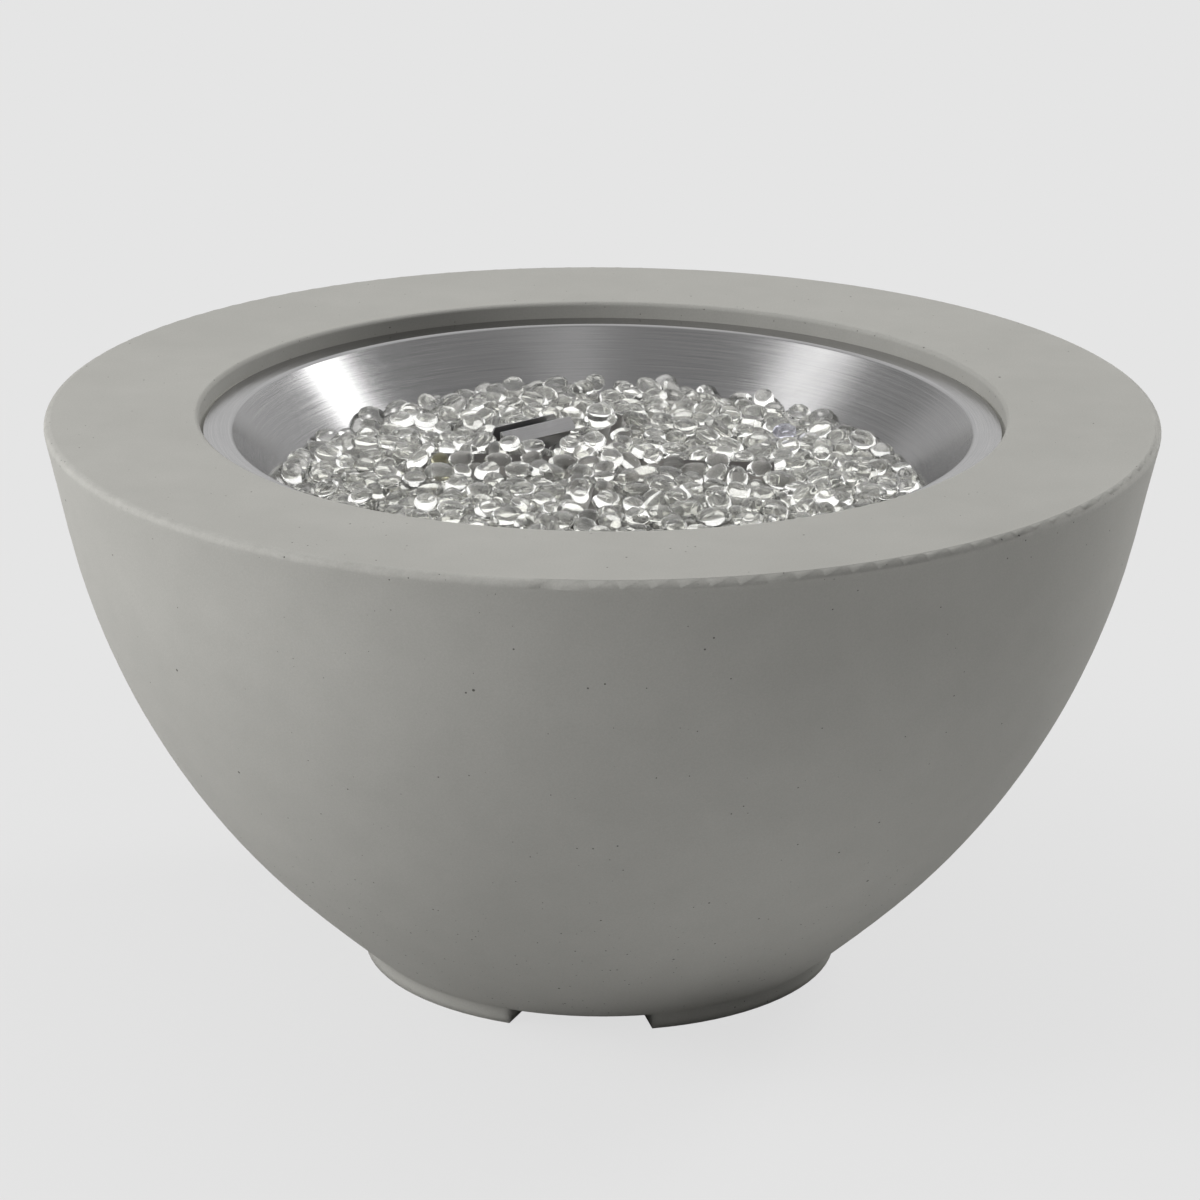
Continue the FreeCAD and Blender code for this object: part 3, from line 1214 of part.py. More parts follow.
def control_knob():
    """Round moulded knob: hollow skirt with ribs, a grip bar across it and a pointer mark."""
    body = new_body("control_knob")
    hollow = "knob_height * 0.3"
    profile = sketch_on(body, "XZ_Plane")
    polygon(profile, [
        ("0", "0"),
        ("knob_hub", "0"),
        ("knob_hub", hollow),
        ("knob_radius - knob_skin", hollow),
        ("knob_radius - knob_skin", "0"),
        ("knob_radius", "0"),
        ("knob_radius - 0.6", "knob_height * 0.38"),
        ("knob_radius - 3", "knob_height * 0.48"),
        ("0", "knob_height * 0.48"),
    ])
    revolve(body, profile)
    grip = sketch_on(body, offset=at(WORLD, z="knob_height * 0.4"))
    stadium(grip, "knob_radius - 1.5", "grip_half_width")
    pad(body, grip, "knob_height * 0.6")

    def grip_top(edge):
        return abs(edge.CenterOfMass.z - number("knob_height")) < 0.01

    round_edges(body, "grip_half_width / 4", grip_top)
    rib = sketch_on(body)
    rectangle(rib, "knob_hub - 1", "knob_radius - knob_skin + 1", "-knob_skin / 4", "knob_skin / 4")
    first_rib = pad(body, rib, hollow + " + 1")
    ribs = body.newObject("PartDesign::PolarPattern", "knob_ribs")
    ribs.Originals = [first_rib]
    ribs.Axis = (rib, ["N_Axis"])
    ribs.Angle = 360
    ribs.Occurrences = 8
    finish(body, ribs)
    bore = sketch_on(body)
    circle(bore, "0", "0", "stem_radius + stem_gap")
    pocket(body, bore, "knob_height - knob_roof + stem_gap", reverse=True)

    # The key that lies on the stem's flat, and the threaded hole through it
    key = sketch_on(body, offset=at(WORLD, z="knob_skin"))
    rectangle(key, "stem_flat + stem_gap", "stem_radius + 1", "-stem_radius", "stem_radius")
    pad(body, key, "knob_height - knob_roof - knob_skin")
    mark = sketch_on(body, offset=at(WORLD, z="knob_height"))
    rectangle(mark, "knob_radius * 0.45", "knob_radius * 0.8", "-0.8", "0.8")
    pocket(body, mark, "0.8")
    screw_hole = sketch_on(body, "YZ_Plane")
    circle(screw_hole, "0", "grub_height", "grub_radius + thread_gap")
    pocket(body, screw_hole, "knob_radius + 1", reverse=True)
    body.Placement = knob_frame()
    return node(body, "control_knob")


def knob_frame():
    """The knob's own axes at rest, X along the grip bar and up the wall."""
    return at(VALVE, z="knob_rise", turn=Rotation(Vector(0, 0, 1), 90))


def knob_set_screw():
    """Grub screw through the hub, pressing on the stem's flat."""
    start = "stem_flat + stem_gap"
    place = at(knob_frame(), x=start, z="grub_height", turn=Rotation(Vector(0, 1, 0), 90))
    body = new_body("knob_set_screw")
    shank = sketch_on(body)
    circle(shank, "0", "0", "grub_radius")
    pad(body, shank, "grub_length")
    socket = sketch_on(body, offset=at(WORLD, z="grub_length"))
    hexagon(socket, "grub_radius")
    pocket(body, socket, "grub_length / 3")
    body.Placement = place
    return node(body, "knob_set_screw")


def knob_bezel():
    """Flanged ring that lines the hole round the valve's shaft."""
    body = turned("knob_bezel", [
        ("bezel_bore", "-bezel_sleeve"),
        ("shaft_hole - hole_gap", "-bezel_sleeve"),
        ("shaft_hole - hole_gap", "0"),
        ("bezel_radius", "0"),
        ("bezel_radius - 0.5", "bezel_thick"),
        ("bezel_bore", "bezel_thick"),
    ], VALVE)
    return node(body, "knob_bezel")


def thermocouple_nut():
    place = at(VALVE, y="port_boss_reach", z=BRACKET_BACK + " - magnet_back", turn=BEHIND)
    body = nut("thermocouple_nut", "lead_nut_flats", "copper_radius + thread_gap", "lead_nut_length", place)
    return node(body, "thermocouple_nut")


# -------------------------------------------------------- push-button igniter

def igniter_body():
    """Moulded case: flange outside the wall, threaded barrel, battery case."""
    body = turned("igniter_body", [
        ("0", "-case_length"),
        ("case_radius - 1", "-case_length"),
        ("case_radius", "-case_length + 1"),
        ("case_radius", "-barrel_length"),
        ("barrel_radius", "-barrel_length"),
        ("barrel_radius", "0"),
        ("igniter_flange", "0"),
        ("igniter_flange", "igniter_flange_thick - 0.8"),
        ("igniter_flange - 0.8", "igniter_flange_thick"),
        ("case_bore", "igniter_flange_thick"),
        ("case_bore", "-case_length + case_end"),
        ("0", "-case_length + case_end"),
    ])
    terminal = sketch_on(body, offset=at(WORLD, z="-case_length - terminal_length"))
    circle(terminal, "0", "0", "terminal_radius")
    pad(body, terminal, "terminal_length + 1")
    body.Placement = IGNITER
    return node(body, "igniter_body")


def igniter_nut():
    place = at(IGNITER, z="-control_web - igniter_nut_thick")
    body = nut("igniter_nut", "igniter_nut_flats", "barrel_radius + thread_gap", "igniter_nut_thick", place)
    return node(body, "igniter_nut")


def igniter_cap():
    """Screw cap with a knurled rim; its sleeve threads into the battery case."""
    base = "igniter_flange_thick"
    body = turned("igniter_cap", [
        ("cap_well", base + " - cap_sleeve"),
        ("case_bore - thread_gap", base + " - cap_sleeve"),
        ("case_bore - thread_gap", base),
        ("cap_radius", base),
        ("cap_radius", base + " + cap_thick - 0.8"),
        ("cap_radius - 0.8", base + " + cap_thick"),
        ("button_radius + stem_gap", base + " + cap_thick"),
        ("button_radius + stem_gap", base + " + cap_thick / 3"),
        ("cap_well", base + " + cap_thick / 3"),
    ])
    flute = sketch_on(body, offset=at(WORLD, z=base))
    circle(flute, "cap_radius + 0.4", "0", "1")
    cut = pocket(body, flute, "cap_thick", reverse=True)
    flutes = body.newObject("PartDesign::PolarPattern", "cap_flutes")
    flutes.Originals = [cut]
    flutes.Axis = (flute, ["N_Axis"])
    flutes.Angle = 360
    flutes.Occurrences = 12
    finish(body, flutes)
    body.Placement = IGNITER
    return node(body, "igniter_cap")


def igniter_button():
    """Button with a shoulder that the cap keeps in."""
    shoulder_top = "(igniter_flange_thick + cap_thick / 3 - 0.1)"
    top = "(igniter_flange_thick + cap_thick + button_rise)"
    body = turned("igniter_button", [
        ("0", shoulder_top + " - button_shoulder"),
        ("cap_well - 2 * stem_gap", shoulder_top + " - button_shoulder"),
        ("cap_well - 2 * stem_gap", shoulder_top),
        ("button_radius", shoulder_top),
        ("button_radius", top + " - 1"),
        ("button_radius - 1", top),
        ("button_radius * 0.6", top + " - 0.2"),
        ("0", top + " - 0.5"),
    ], IGNITER)
    return node(body, "igniter_button")


def button_spring():
    low = "-case_length + case_end + battery_length + battery_nub"
    high = "igniter_flange_thick + cap_thick / 3 - 0.1 - button_shoulder"
    return node(coil("button_spring", "spring_wire", "button_coil", low, high, 6, IGNITER), "button_spring")


def igniter_battery():
    body = turned("igniter_battery", [
        ("0", "0"),
        ("battery_radius - 0.4", "0"),
        ("battery_radius", "0.4"),
        ("battery_radius", "battery_length - 0.6"),
        ("battery_radius - 0.6", "battery_length"),
        ("battery_radius * 0.4", "battery_length"),
        ("battery_radius * 0.4", "battery_length + battery_nub"),
        ("0", "battery_length + battery_nub"),
    ], at(IGNITER, z="-case_length + case_end"))
    return node(body, "igniter_battery")


def wire_boots():
    """Rubber boots where the ignition lead meets the igniter and the electrode."""
    outline = [
        ("lead_radius + stem_gap", "0"),
        ("boot_radius", "0"),
        ("boot_radius", "boot_length * 0.6"),
        ("lead_radius + 0.8", "boot_length"),
        ("lead_radius + stem_gap", "boot_length"),
    ]
    down = Rotation(Vector(1, 0, 0), 180)
    bodies = [
        turned("igniter_boot", outline, at(IGNITER, z="-case_length - 0.5", turn=down)),
        turned("electrode_boot", outline, at(GUARD, x="electrode_x", z="-insulator_drop - 0.5", turn=down)),
    ]
    return group("wire_boots", bodies)


# ------------------------------------------------------------ leads and lines

def under_pan(x, y, drop):
    """A point of a lead, at a drop below the pan floor."""
    return Vector(x, y, number(PAN_FLOOR) - drop)


def ignition_wire():
    return line_along("ignition_wire", [
        point(IGNITER, z="-case_length - terminal_length"),
        point(IGNITER, z="-case_length - terminal_length - 24"),
        under_pan(-40, 168, 54),
        under_pan(-48, 122, 60),
        under_pan(-57, 85, 69),
        under_pan(-61, 56, 69),
        point(GUARD, x="electrode_x", z="-rod_drop - 24"),
        point(GUARD, x="electrode_x", z="-rod_drop"),
    ], "lead_radius")


def thermocouple_lead():
    magnet = BRACKET_BACK + " - magnet_back"
    return line_along("thermocouple_lead", [
        point(VALVE, y="port_boss_reach", z=magnet),
        point(VALVE, y="port_boss_reach + 24", z=magnet),
        under_pan(24, 262, 22),
        under_pan(14, 215, 24),
        under_pan(-3, 165, 32),
        under_pan(-22, 115, 40),
        under_pan(-40, 80, 54),
        point(GUARD, x="probe_x", z="-probe_drop - 23"),
        point(GUARD, x="probe_x", z="-probe_drop"),
    ], "copper_radius")


def burner_line():
    outlet = BRACKET_BACK + " - valve_length - flare_length"
    mixer_end = "elbow_reach + mixer_length + flare_length"
    return line_along("burner_line", [
        point(VALVE, z=outlet),
        point(VALVE, z=outlet + " - 42"),
        point(PAN, y=mixer_end + " + 36", z="-elbow_drop"),
        point(PAN, y=mixer_end, z="-elbow_drop"),
    ], "line_radius")


INLET_BASE = "(foot_height + floor_thick + bridge_sheet)"
INLET_TOP = "(%s + inlet_hex_thick + flare_length)" % INLET_BASE


def supply_line():
    inlet = BRACKET_BACK + " - inlet_back"
    return line_along("supply_line", [
        point(VALVE, y="-port_boss_reach - flare_length", z=inlet),
        point(VALVE, y="-port_boss_reach - flare_length - 36", z=inlet),
        Vector(25, 199, 126),
        Vector(20, 122, 132),
        Vector(2, 45, 150),
        point(WORLD, z=INLET_TOP + " + 46.5"),
        point(WORLD, z=INLET_TOP),
    ], "line_radius")


def burner_line_nuts():
    back = Rotation(Vector(1, 0, 0), 180)
    bodies = [
        flare_nut("valve_outlet_nut", at(VALVE, z=BRACKET_BACK + " - valve_length", turn=back)),
        flare_nut("mixer_nut", at(mixer_frame(), z="mixer_length")),
    ]
    return group("burner_line_nuts", bodies)


def supply_line_nuts():
    down = Rotation(Vector(1, 0, 0), 90)
    inlet = at(VALVE, y="-port_boss_reach", z=BRACKET_BACK + " - inlet_back", turn=down)
    bodies = [
        flare_nut("valve_inlet_nut", inlet),
        flare_nut("fitting_nut", at(WORLD, z=INLET_BASE + " + inlet_hex_thick")),
    ]
    return group("supply_line_nuts", bodies)


# ------------------------------------------------- gas inlet under the bowl

def inlet_bridge():
    """Steel channel across the floor opening that carries the gas inlet."""
    body = new_body("inlet_bridge")
    block = sketch_on(body)
    rectangle(block, "-bridge_half_length", "bridge_half_length",
              "-bridge_half_width", "bridge_half_width")
    circle(block, "0", "0", "inlet_shank + hole_gap")
    for x in ("", "-"):
        for y in ("", "-"):
            circle(block, x + "bridge_screw_x", y + "bridge_screw_y", "bolt_radius + hole_gap")
    pad(body, block, "bridge_sheet")
    for side in ("", "-"):
        wall = sketch_on(body, "XZ_Plane", at(WORLD, z=side + "(bridge_half_width - bridge_sheet / 2)"))
        polygon(wall, [
            ("-bridge_half_length", "0"),
            ("bridge_half_length", "0"),
            ("bridge_half_length", "bridge_sheet"),
            ("bridge_half_length - bridge_wall", "bridge_wall"),
            ("-bridge_half_length + bridge_wall", "bridge_wall"),
            ("-bridge_half_length", "bridge_sheet"),
        ])
        pad(body, wall, "bridge_sheet", both_ways=True)
    body.Placement = at(WORLD, z="foot_height + floor_thick")
    return node(body, "inlet_bridge")


def bridge_screws():
    bodies = [screw("bridge_screw", "bolt_radius", "bolt_head", "bolt_head_high",
                    "bridge_sheet + insert_length - 1",
                    at(WORLD, x + "bridge_screw_x", y + "bridge_screw_y", INLET_BASE))
              for x in ("", "-") for y in ("", "-")]
    return group("bridge_screws", bodies)


def inlet_fitting():
    """Bulkhead fitting: male flare end below, hexagon on the bridge, flare end above."""
    shank = "(-bridge_sheet - inlet_nut_thick)"
    thread = "(%s - inlet_thread)" % shank
    body = turned("inlet_fitting", [
        ("flare_bore", thread + " - flare_nose"),
        ("flare_bore + 1", thread + " - flare_nose"),
        ("flare_radius - 1", thread),
        ("flare_radius", thread),
        ("flare_radius", shank),
        ("inlet_shank", shank),
        ("inlet_shank", "0"),
        ("flare_radius", "0"),
        ("flare_radius", "inlet_hex_thick + flare_length"),
        ("flare_bore", "inlet_hex_thick + flare_length"),
    ])
    flats = sketch_on(body)
    hexagon(flats, "inlet_hex_flats")
    circle(flats, "0", "0", "(flare_radius + flare_bore) / 2")
    pad(body, flats, "inlet_hex_thick")
    body.Placement = at(WORLD, z=INLET_BASE)
    return node(body, "inlet_fitting")


def inlet_lock_nut():
    place = at(WORLD, z="foot_height + floor_thick - inlet_nut_thick")
    body = nut("inlet_lock_nut", "inlet_nut_flats", "inlet_shank + thread_gap", "inlet_nut_thick", place)
    return node(body, "inlet_lock_nut")


# ------------------------------------------------------------- the fire glass

def glass_gems():
    """The bed of glass, heaped towards the middle and clear of the metal in it."""
    body = new_body("glass_gems")
    edge = "(pan_depth + seat_drop - pan_sheet - bed_edge_drop)"
    aside = "bed_clear / sin(pan_angle)"
    corner = "pan_corner * tan(pan_angle / 2)"
    reach = "(pan_floor_radius + %s / tan(pan_angle) - %s)" % (edge, aside)
    outline = [
        ("0", "bed_clear"),
        ("pan_floor_radius - " + corner, "bed_clear"),
        ("pan_floor_radius + %s * cos(pan_angle) - %s" % (corner, aside), corner + " * sin(pan_angle)"),
        (reach, edge),
        ("0", edge),
    ]
    profile = sketch_on(body, "XZ_Plane")
    polygon(profile, outline)
    revolve(body, profile)

    # The crown is a shallow cap of a sphere
    crown = sketch_on(body, "XZ_Plane")
    cap(crown, reach, "bed_crown", edge)
    revolve(body, crown)

    grow = "bed_clear"
    burner_arms(body, grow, "-1", grow, pocket)
    guard_place = PAN.inverse().multiply(GUARD)
    guard_hole = sketch_on(body, offset=guard_place)
    half_length, half_width = "(guard_length / 2 + bed_clear)", "(guard_width / 2 + bed_clear)"
    rectangle(guard_hole, "-" + half_length, half_length, "-" + half_width, half_width)
    pocket(body, guard_hole, "pan_depth", reverse=True)
    body.Placement = PAN
    return node(body, "glass_gems")


def cap_ball(reach, rise):
    """Radius of the sphere that a cap of this reach and rise belongs to."""
    return "(((%s) ^ 2 + (%s) ^ 2) / (2 * (%s)))" % (reach, rise, rise)


def cap(sketch, reach, high, low):
    """Half section of a spherical cap of a reach and a height, standing on a level line."""
    rise = number(high)
    base = number(low)
    ball = number(cap_ball(reach, high))
    middle = Vector(0, base + rise - ball, 0)
    rim = Vector(number(reach), base, 0)
    top = Vector(0, base + rise, 0)
    foot = Vector(0, base, 0)
    axis_line = sketch.addGeometry(Part.LineSegment(top, foot))
    level = sketch.addGeometry(Part.LineSegment(foot, rim))
    angle = math.atan2(rim.y - middle.y, rim.x - middle.x)
    arc = sketch.addGeometry(Part.ArcOfCircle(Part.Circle(middle, Vector(0, 0, 1), ball),
                                              angle, math.pi / 2))
    sketch.addConstraint(Sketcher.Constraint("Coincident", axis_line, 2, level, 1))
    sketch.addConstraint(Sketcher.Constraint("Coincident", level, 2, arc, 1))
    sketch.addConstraint(Sketcher.Constraint("Coincident", arc, 2, axis_line, 1))
    pin_point(sketch, axis_line, 1, "0", "%s + %s" % (low, high))
    pin_point(sketch, level, 1, "0", low)
    pin_point(sketch, level, 2, reach, low)
    fix(sketch, "DistanceX", -1, 1, arc, 3, to="0")


# --------------------------------------------------------------------- build

PIECES = [
    concrete_bowl, cast_inserts,
    burner_pan, burner_cross, burner_nipple, nipple_nut, burner_elbow, air_mixer, gas_jet,
    igniter_guard, clamp_plate, guard_screws, guard_nuts, electrode_insulator, spark_electrode,
    thermocouple_probe, retaining_clips,
    valve_bracket, bracket_screws, valve_body, valve_lock_nut, valve_stem, spring_cup, stem_spring,
    control_knob, knob_set_screw, knob_bezel, thermocouple_nut,
    igniter_body, igniter_nut, igniter_cap, igniter_button, button_spring, igniter_battery, wire_boots,
    ignition_wire, thermocouple_lead, burner_line, supply_line, burner_line_nuts, supply_line_nuts,
    inlet_bridge, bridge_screws, inlet_fitting, inlet_lock_nut,
    glass_gems,
]


def check_document():
    """Stops before anything is written if a feature failed or a shape is not sound."""
    DOC.recompute()
    for obj in DOC.Objects:
        if "Invalid" in obj.State or "Error" in obj.State:
            raise RuntimeError("%s failed" % obj.Label)
    for obj in NODES:
        if obj.Shape.isNull() or not obj.Shape.isValid() or not obj.Shape.Solids:
            raise RuntimeError("%s has no sound shape" % obj.Label)


def main():
    for piece in PIECES:
        piece()
    check_document()
    os.makedirs("parts", exist_ok=True)
    for obj in NODES:
        obj.Shape.exportStep("parts/%s.step" % obj.Label)
    print("%d nodes, %d solids" % (len(NODES), sum(len(obj.Shape.Solids) for obj in NODES)))


if __name__ == "__main__":
    main()
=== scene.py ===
"""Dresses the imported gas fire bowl: finishes, fire glass, leads, threads and springs, in a plain studio."""

import math
import random

import bmesh
import bpy
import numpy as np
from mathutils import Matrix, Vector, kdtree, noise


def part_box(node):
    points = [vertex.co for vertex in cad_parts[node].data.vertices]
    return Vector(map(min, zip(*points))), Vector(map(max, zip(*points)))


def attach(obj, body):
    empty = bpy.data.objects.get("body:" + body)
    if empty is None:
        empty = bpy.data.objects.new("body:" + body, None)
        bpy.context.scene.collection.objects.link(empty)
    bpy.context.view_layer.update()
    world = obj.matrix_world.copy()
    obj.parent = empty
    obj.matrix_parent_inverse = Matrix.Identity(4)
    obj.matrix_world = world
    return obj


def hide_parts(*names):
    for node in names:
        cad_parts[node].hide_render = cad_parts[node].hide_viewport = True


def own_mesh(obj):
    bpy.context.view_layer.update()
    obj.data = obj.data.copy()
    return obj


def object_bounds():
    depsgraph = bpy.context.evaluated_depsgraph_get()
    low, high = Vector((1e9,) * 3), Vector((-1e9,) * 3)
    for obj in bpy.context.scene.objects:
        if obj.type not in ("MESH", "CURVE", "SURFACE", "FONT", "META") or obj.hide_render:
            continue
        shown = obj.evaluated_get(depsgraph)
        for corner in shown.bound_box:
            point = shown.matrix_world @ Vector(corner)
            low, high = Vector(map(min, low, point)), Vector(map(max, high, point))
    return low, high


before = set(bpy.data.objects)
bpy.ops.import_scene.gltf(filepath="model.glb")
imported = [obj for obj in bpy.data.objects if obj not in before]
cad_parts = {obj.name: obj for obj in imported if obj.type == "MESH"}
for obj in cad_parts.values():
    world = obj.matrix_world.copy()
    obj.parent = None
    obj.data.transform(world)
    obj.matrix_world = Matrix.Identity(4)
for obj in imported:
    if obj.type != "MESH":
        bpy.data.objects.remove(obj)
CAD_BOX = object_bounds()

bl_info = {
    "name": "Gas Fire Bowl Looks",
    "version": (1, 0, 0),
    "blender": (4, 5, 0),
    "location": "3D View > Sidebar > Fire Bowl",
    "description": "Finishes, fire glass, leads and studio for a cast-concrete gas fire bowl",
    "category": "Object",
}


# ---- shader nodes

class Nodes:
    """Adds nodes to one tree. An input has a name or a number, and takes a value or a socket."""

    def __init__(self, tree):
        self.tree = tree

    def add(self, kind, inputs=None, **settings):
        node = self.tree.nodes.new(kind)
        for name, value in settings.items():
            setattr(node, name, value)
        self.fill(node, inputs or {})
        return node

    def fill(self, node, inputs):
        for name, value in inputs.items():
            if isinstance(value, bpy.types.NodeSocket):
                self.tree.links.new(value, node.inputs[name])
            else:
                node.inputs[name].default_value = value

    def math(self, operation, *values):
        return self.add("ShaderNodeMath", dict(enumerate(values)), operation=operation).outputs[0]

    def times(self, *values):
        """The product of two values, plus the third if there is one."""
        return self.math("MULTIPLY" if len(values) == 2 else "MULTIPLY_ADD", *values)

    def vector(self, operation, *values):
        node = self.add("ShaderNodeVectorMath", dict(enumerate(values)), operation=operation)
        return node.outputs["Value" if operation in ("LENGTH", "DOT_PRODUCT") else "Vector"]

    def axes(self, vector):
        return self.add("ShaderNodeSeparateXYZ", {0: vector}).outputs

    def joined(self, x, y, z):
        return self.add("ShaderNodeCombineXYZ", {0: x, 1: y, 2: z}).outputs[0]

    def mix(self, factor, first, second):
        return self.add("ShaderNodeMix", {0: factor, 6: first, 7: second}, data_type="RGBA").outputs[2]

    def ramp(self, value, low, high, start=0.0, end=1.0, smooth=False):
        node = self.add("ShaderNodeMapRange", {0: value, 1: low, 2: high, 3: start, 4: end},
                        interpolation_type="SMOOTHSTEP" if smooth else "LINEAR")
        return node.outputs[0]

    def noise(self, vector, scale, detail=2.0, roughness=0.5):
        inputs = {"Vector": vector, "Scale": scale, "Detail": detail, "Roughness": roughness}
        return self.add("ShaderNodeTexNoise", inputs).outputs[0]

    def effect(self, name, vector, inputs=None):
        """A shared effect, which has one output."""
        inputs = {"Vector": vector, **(inputs or {})}
        return self.add("ShaderNodeGroup", inputs, node_tree=effect_group(name)).outputs[0]

    def object_coordinates(self):
        return self.add("ShaderNodeTexCoord").outputs["Object"]

    def bump(self, height, strength, distance, **more):
        inputs = {"Height": height, "Strength": strength, "Distance": distance, **more}
        return self.add("ShaderNodeBump", inputs).outputs[0]


def emptied(owner):
    """The cleared node tree of a new material or world."""
    owner.use_nodes = True
    owner.node_tree.nodes.clear()
    return Nodes(owner.node_tree)


def color(red, green, blue):
    """A colour written in screen values from 0 to 255, as a shader takes it."""
    linear = []
    for level in (red, green, blue):
        level /= 255
        linear.append(level / 12.92 if level <= 0.04045 else ((level + 0.055) / 1.055) ** 2.4)
    return (*linear, 1.0)


# ---- shared effects, each one node group

def pores(n, vector, cells_per_metre, share, largest):
    """Round pinholes of mixed size, one to a cell at most."""
    cells = n.add("ShaderNodeTexVoronoi", {"Vector": vector, "Scale": cells_per_metre})
    lot = n.add("ShaderNodeSeparateColor", {0: cells.outputs["Color"]}).outputs
    there = n.math("LESS_THAN", lot[0], share)
    radius = n.times(n.times(n.math("POWER", lot[1], 3.0), 0.55, 0.45), largest)
    reach = n.math("DIVIDE", cells.outputs["Distance"], n.times(radius, cells_per_metre))
    return n.times(n.ramp(reach, 1.0, 0.55, smooth=True), there)


def mottle(n, vector, clouds_per_metre):
    """Soft cloudy change over the surface, from 0 to 1."""
    broad = n.noise(vector, clouds_per_metre, 3.0, 0.55)
    fine = n.noise(vector, n.times(clouds_per_metre, 7.0))
    return n.ramp(n.times(fine, 0.35, n.times(broad, 0.65)), 0.35, 0.65)


def turned_lines(n, vector, line_width, breaks_round):
    """Fine lines that run round the Z axis, as polishing on a lathe leaves them."""
    x, y, z = n.axes(vector)
    radius = n.math("SQRT", n.math("ADD", n.times(x, x), n.times(y, y)))
    around = n.axes(n.vector("NORMALIZE", n.joined(x, y, 0.0)))
    across = n.math("DIVIDE", n.math("ADD", radius, z), line_width)
    stretched = n.joined(n.times(around[0], breaks_round), n.times(around[1], breaks_round), across)
    return n.noise(stretched, 1.0, 3.0, 0.65)


def straight_lines(n, vector, stretch):
    """Fine lines along local X, as sheet has from the mill."""
    return n.noise(n.vector("MULTIPLY", vector, stretch), 1.0, 3.0, 0.6)


def handling(n, vector, marks_per_metre):
    """Smudges and faint scuffs that change how a surface shines."""
    patch = n.noise(vector, marks_per_metre, 4.0, 0.6)
    scratch = n.noise(n.vector("MULTIPLY", vector, (1.0, 9.0, 3.0)), marks_per_metre, 3.0, 0.7)
    return n.times(n.ramp(scratch, 0.55, 0.7), 0.35, n.times(n.ramp(patch, 0.4, 0.65), 0.65))


def grain(n, vector, grains_per_metre):
    """Close even grain, as of sand, moulded plastic or a cast skin."""
    return n.noise(vector, grains_per_metre, 4.0, 0.62)


# Each effect's maker, its output and its inputs, where None stands for a vector
EFFECTS = {
    "Cast Pores": (pores, "Pore", {"Vector": None, "Cells per Metre": 80.0, "Share of Cells": 0.3,
                                   "Largest Radius": 0.0015}),
    "Mottle": (mottle, "Cloud", {"Vector": None, "Clouds per Metre": 9.0}),
    "Turned Lines": (turned_lines, "Line", {"Vector": None, "Line Width": 0.0006, "Breaks Round": 2.0}),
    "Straight Lines": (straight_lines, "Line", {"Vector": None, "Stretch": None}),
    "Handling": (handling, "Mark", {"Vector": None, "Marks per Metre": 30.0}),
    "Grain": (grain, "Grain", {"Vector": None, "Grains per Metre": 900.0}),
}


def effect_group(name):
    """The node group of a shared effect, built the first time it is asked for."""
    if name in bpy.data.node_groups:
        return bpy.data.node_groups[name]
    make, output, inputs = EFFECTS[name]
    tree = bpy.data.node_groups.new(name, "ShaderNodeTree")
    for label, value in inputs.items():
        kind = "NodeSocketVector" if value is None else "NodeSocketFloat"
        socket = tree.interface.new_socket(label, in_out="INPUT", socket_type=kind)
        if value is not None:
            socket.default_value = value
    tree.interface.new_socket(output, in_out="OUTPUT", socket_type="NodeSocketFloat")
    n = Nodes(tree)
    given = n.add("NodeGroupInput").outputs[:len(inputs)]
    n.add("NodeGroupOutput", {output: make(n, *given)})
    return tree


# ---- finishes

def finish_material(name, paint, **constants):
    """A material with one Principled shader: some constants, and what paint makes for the rest."""
    if name in bpy.data.materials:
        bpy.data.materials[name].name = name + "_plain"
    material = bpy.data.materials.new(name)
    n = emptied(material)
    plain = {key.replace("_", " "): value for key, value in constants.items()}
    shader = n.add("ShaderNodeBsdfPrincipled", plain)
    n.fill(shader, paint(n, n.object_coordinates()))
    n.add("ShaderNodeOutputMaterial", {"Surface": shader.outputs[0]})
    return material


# How much wider the bowl's well is than the pan that sits in it
SEAT_CLEARANCE = 0.005


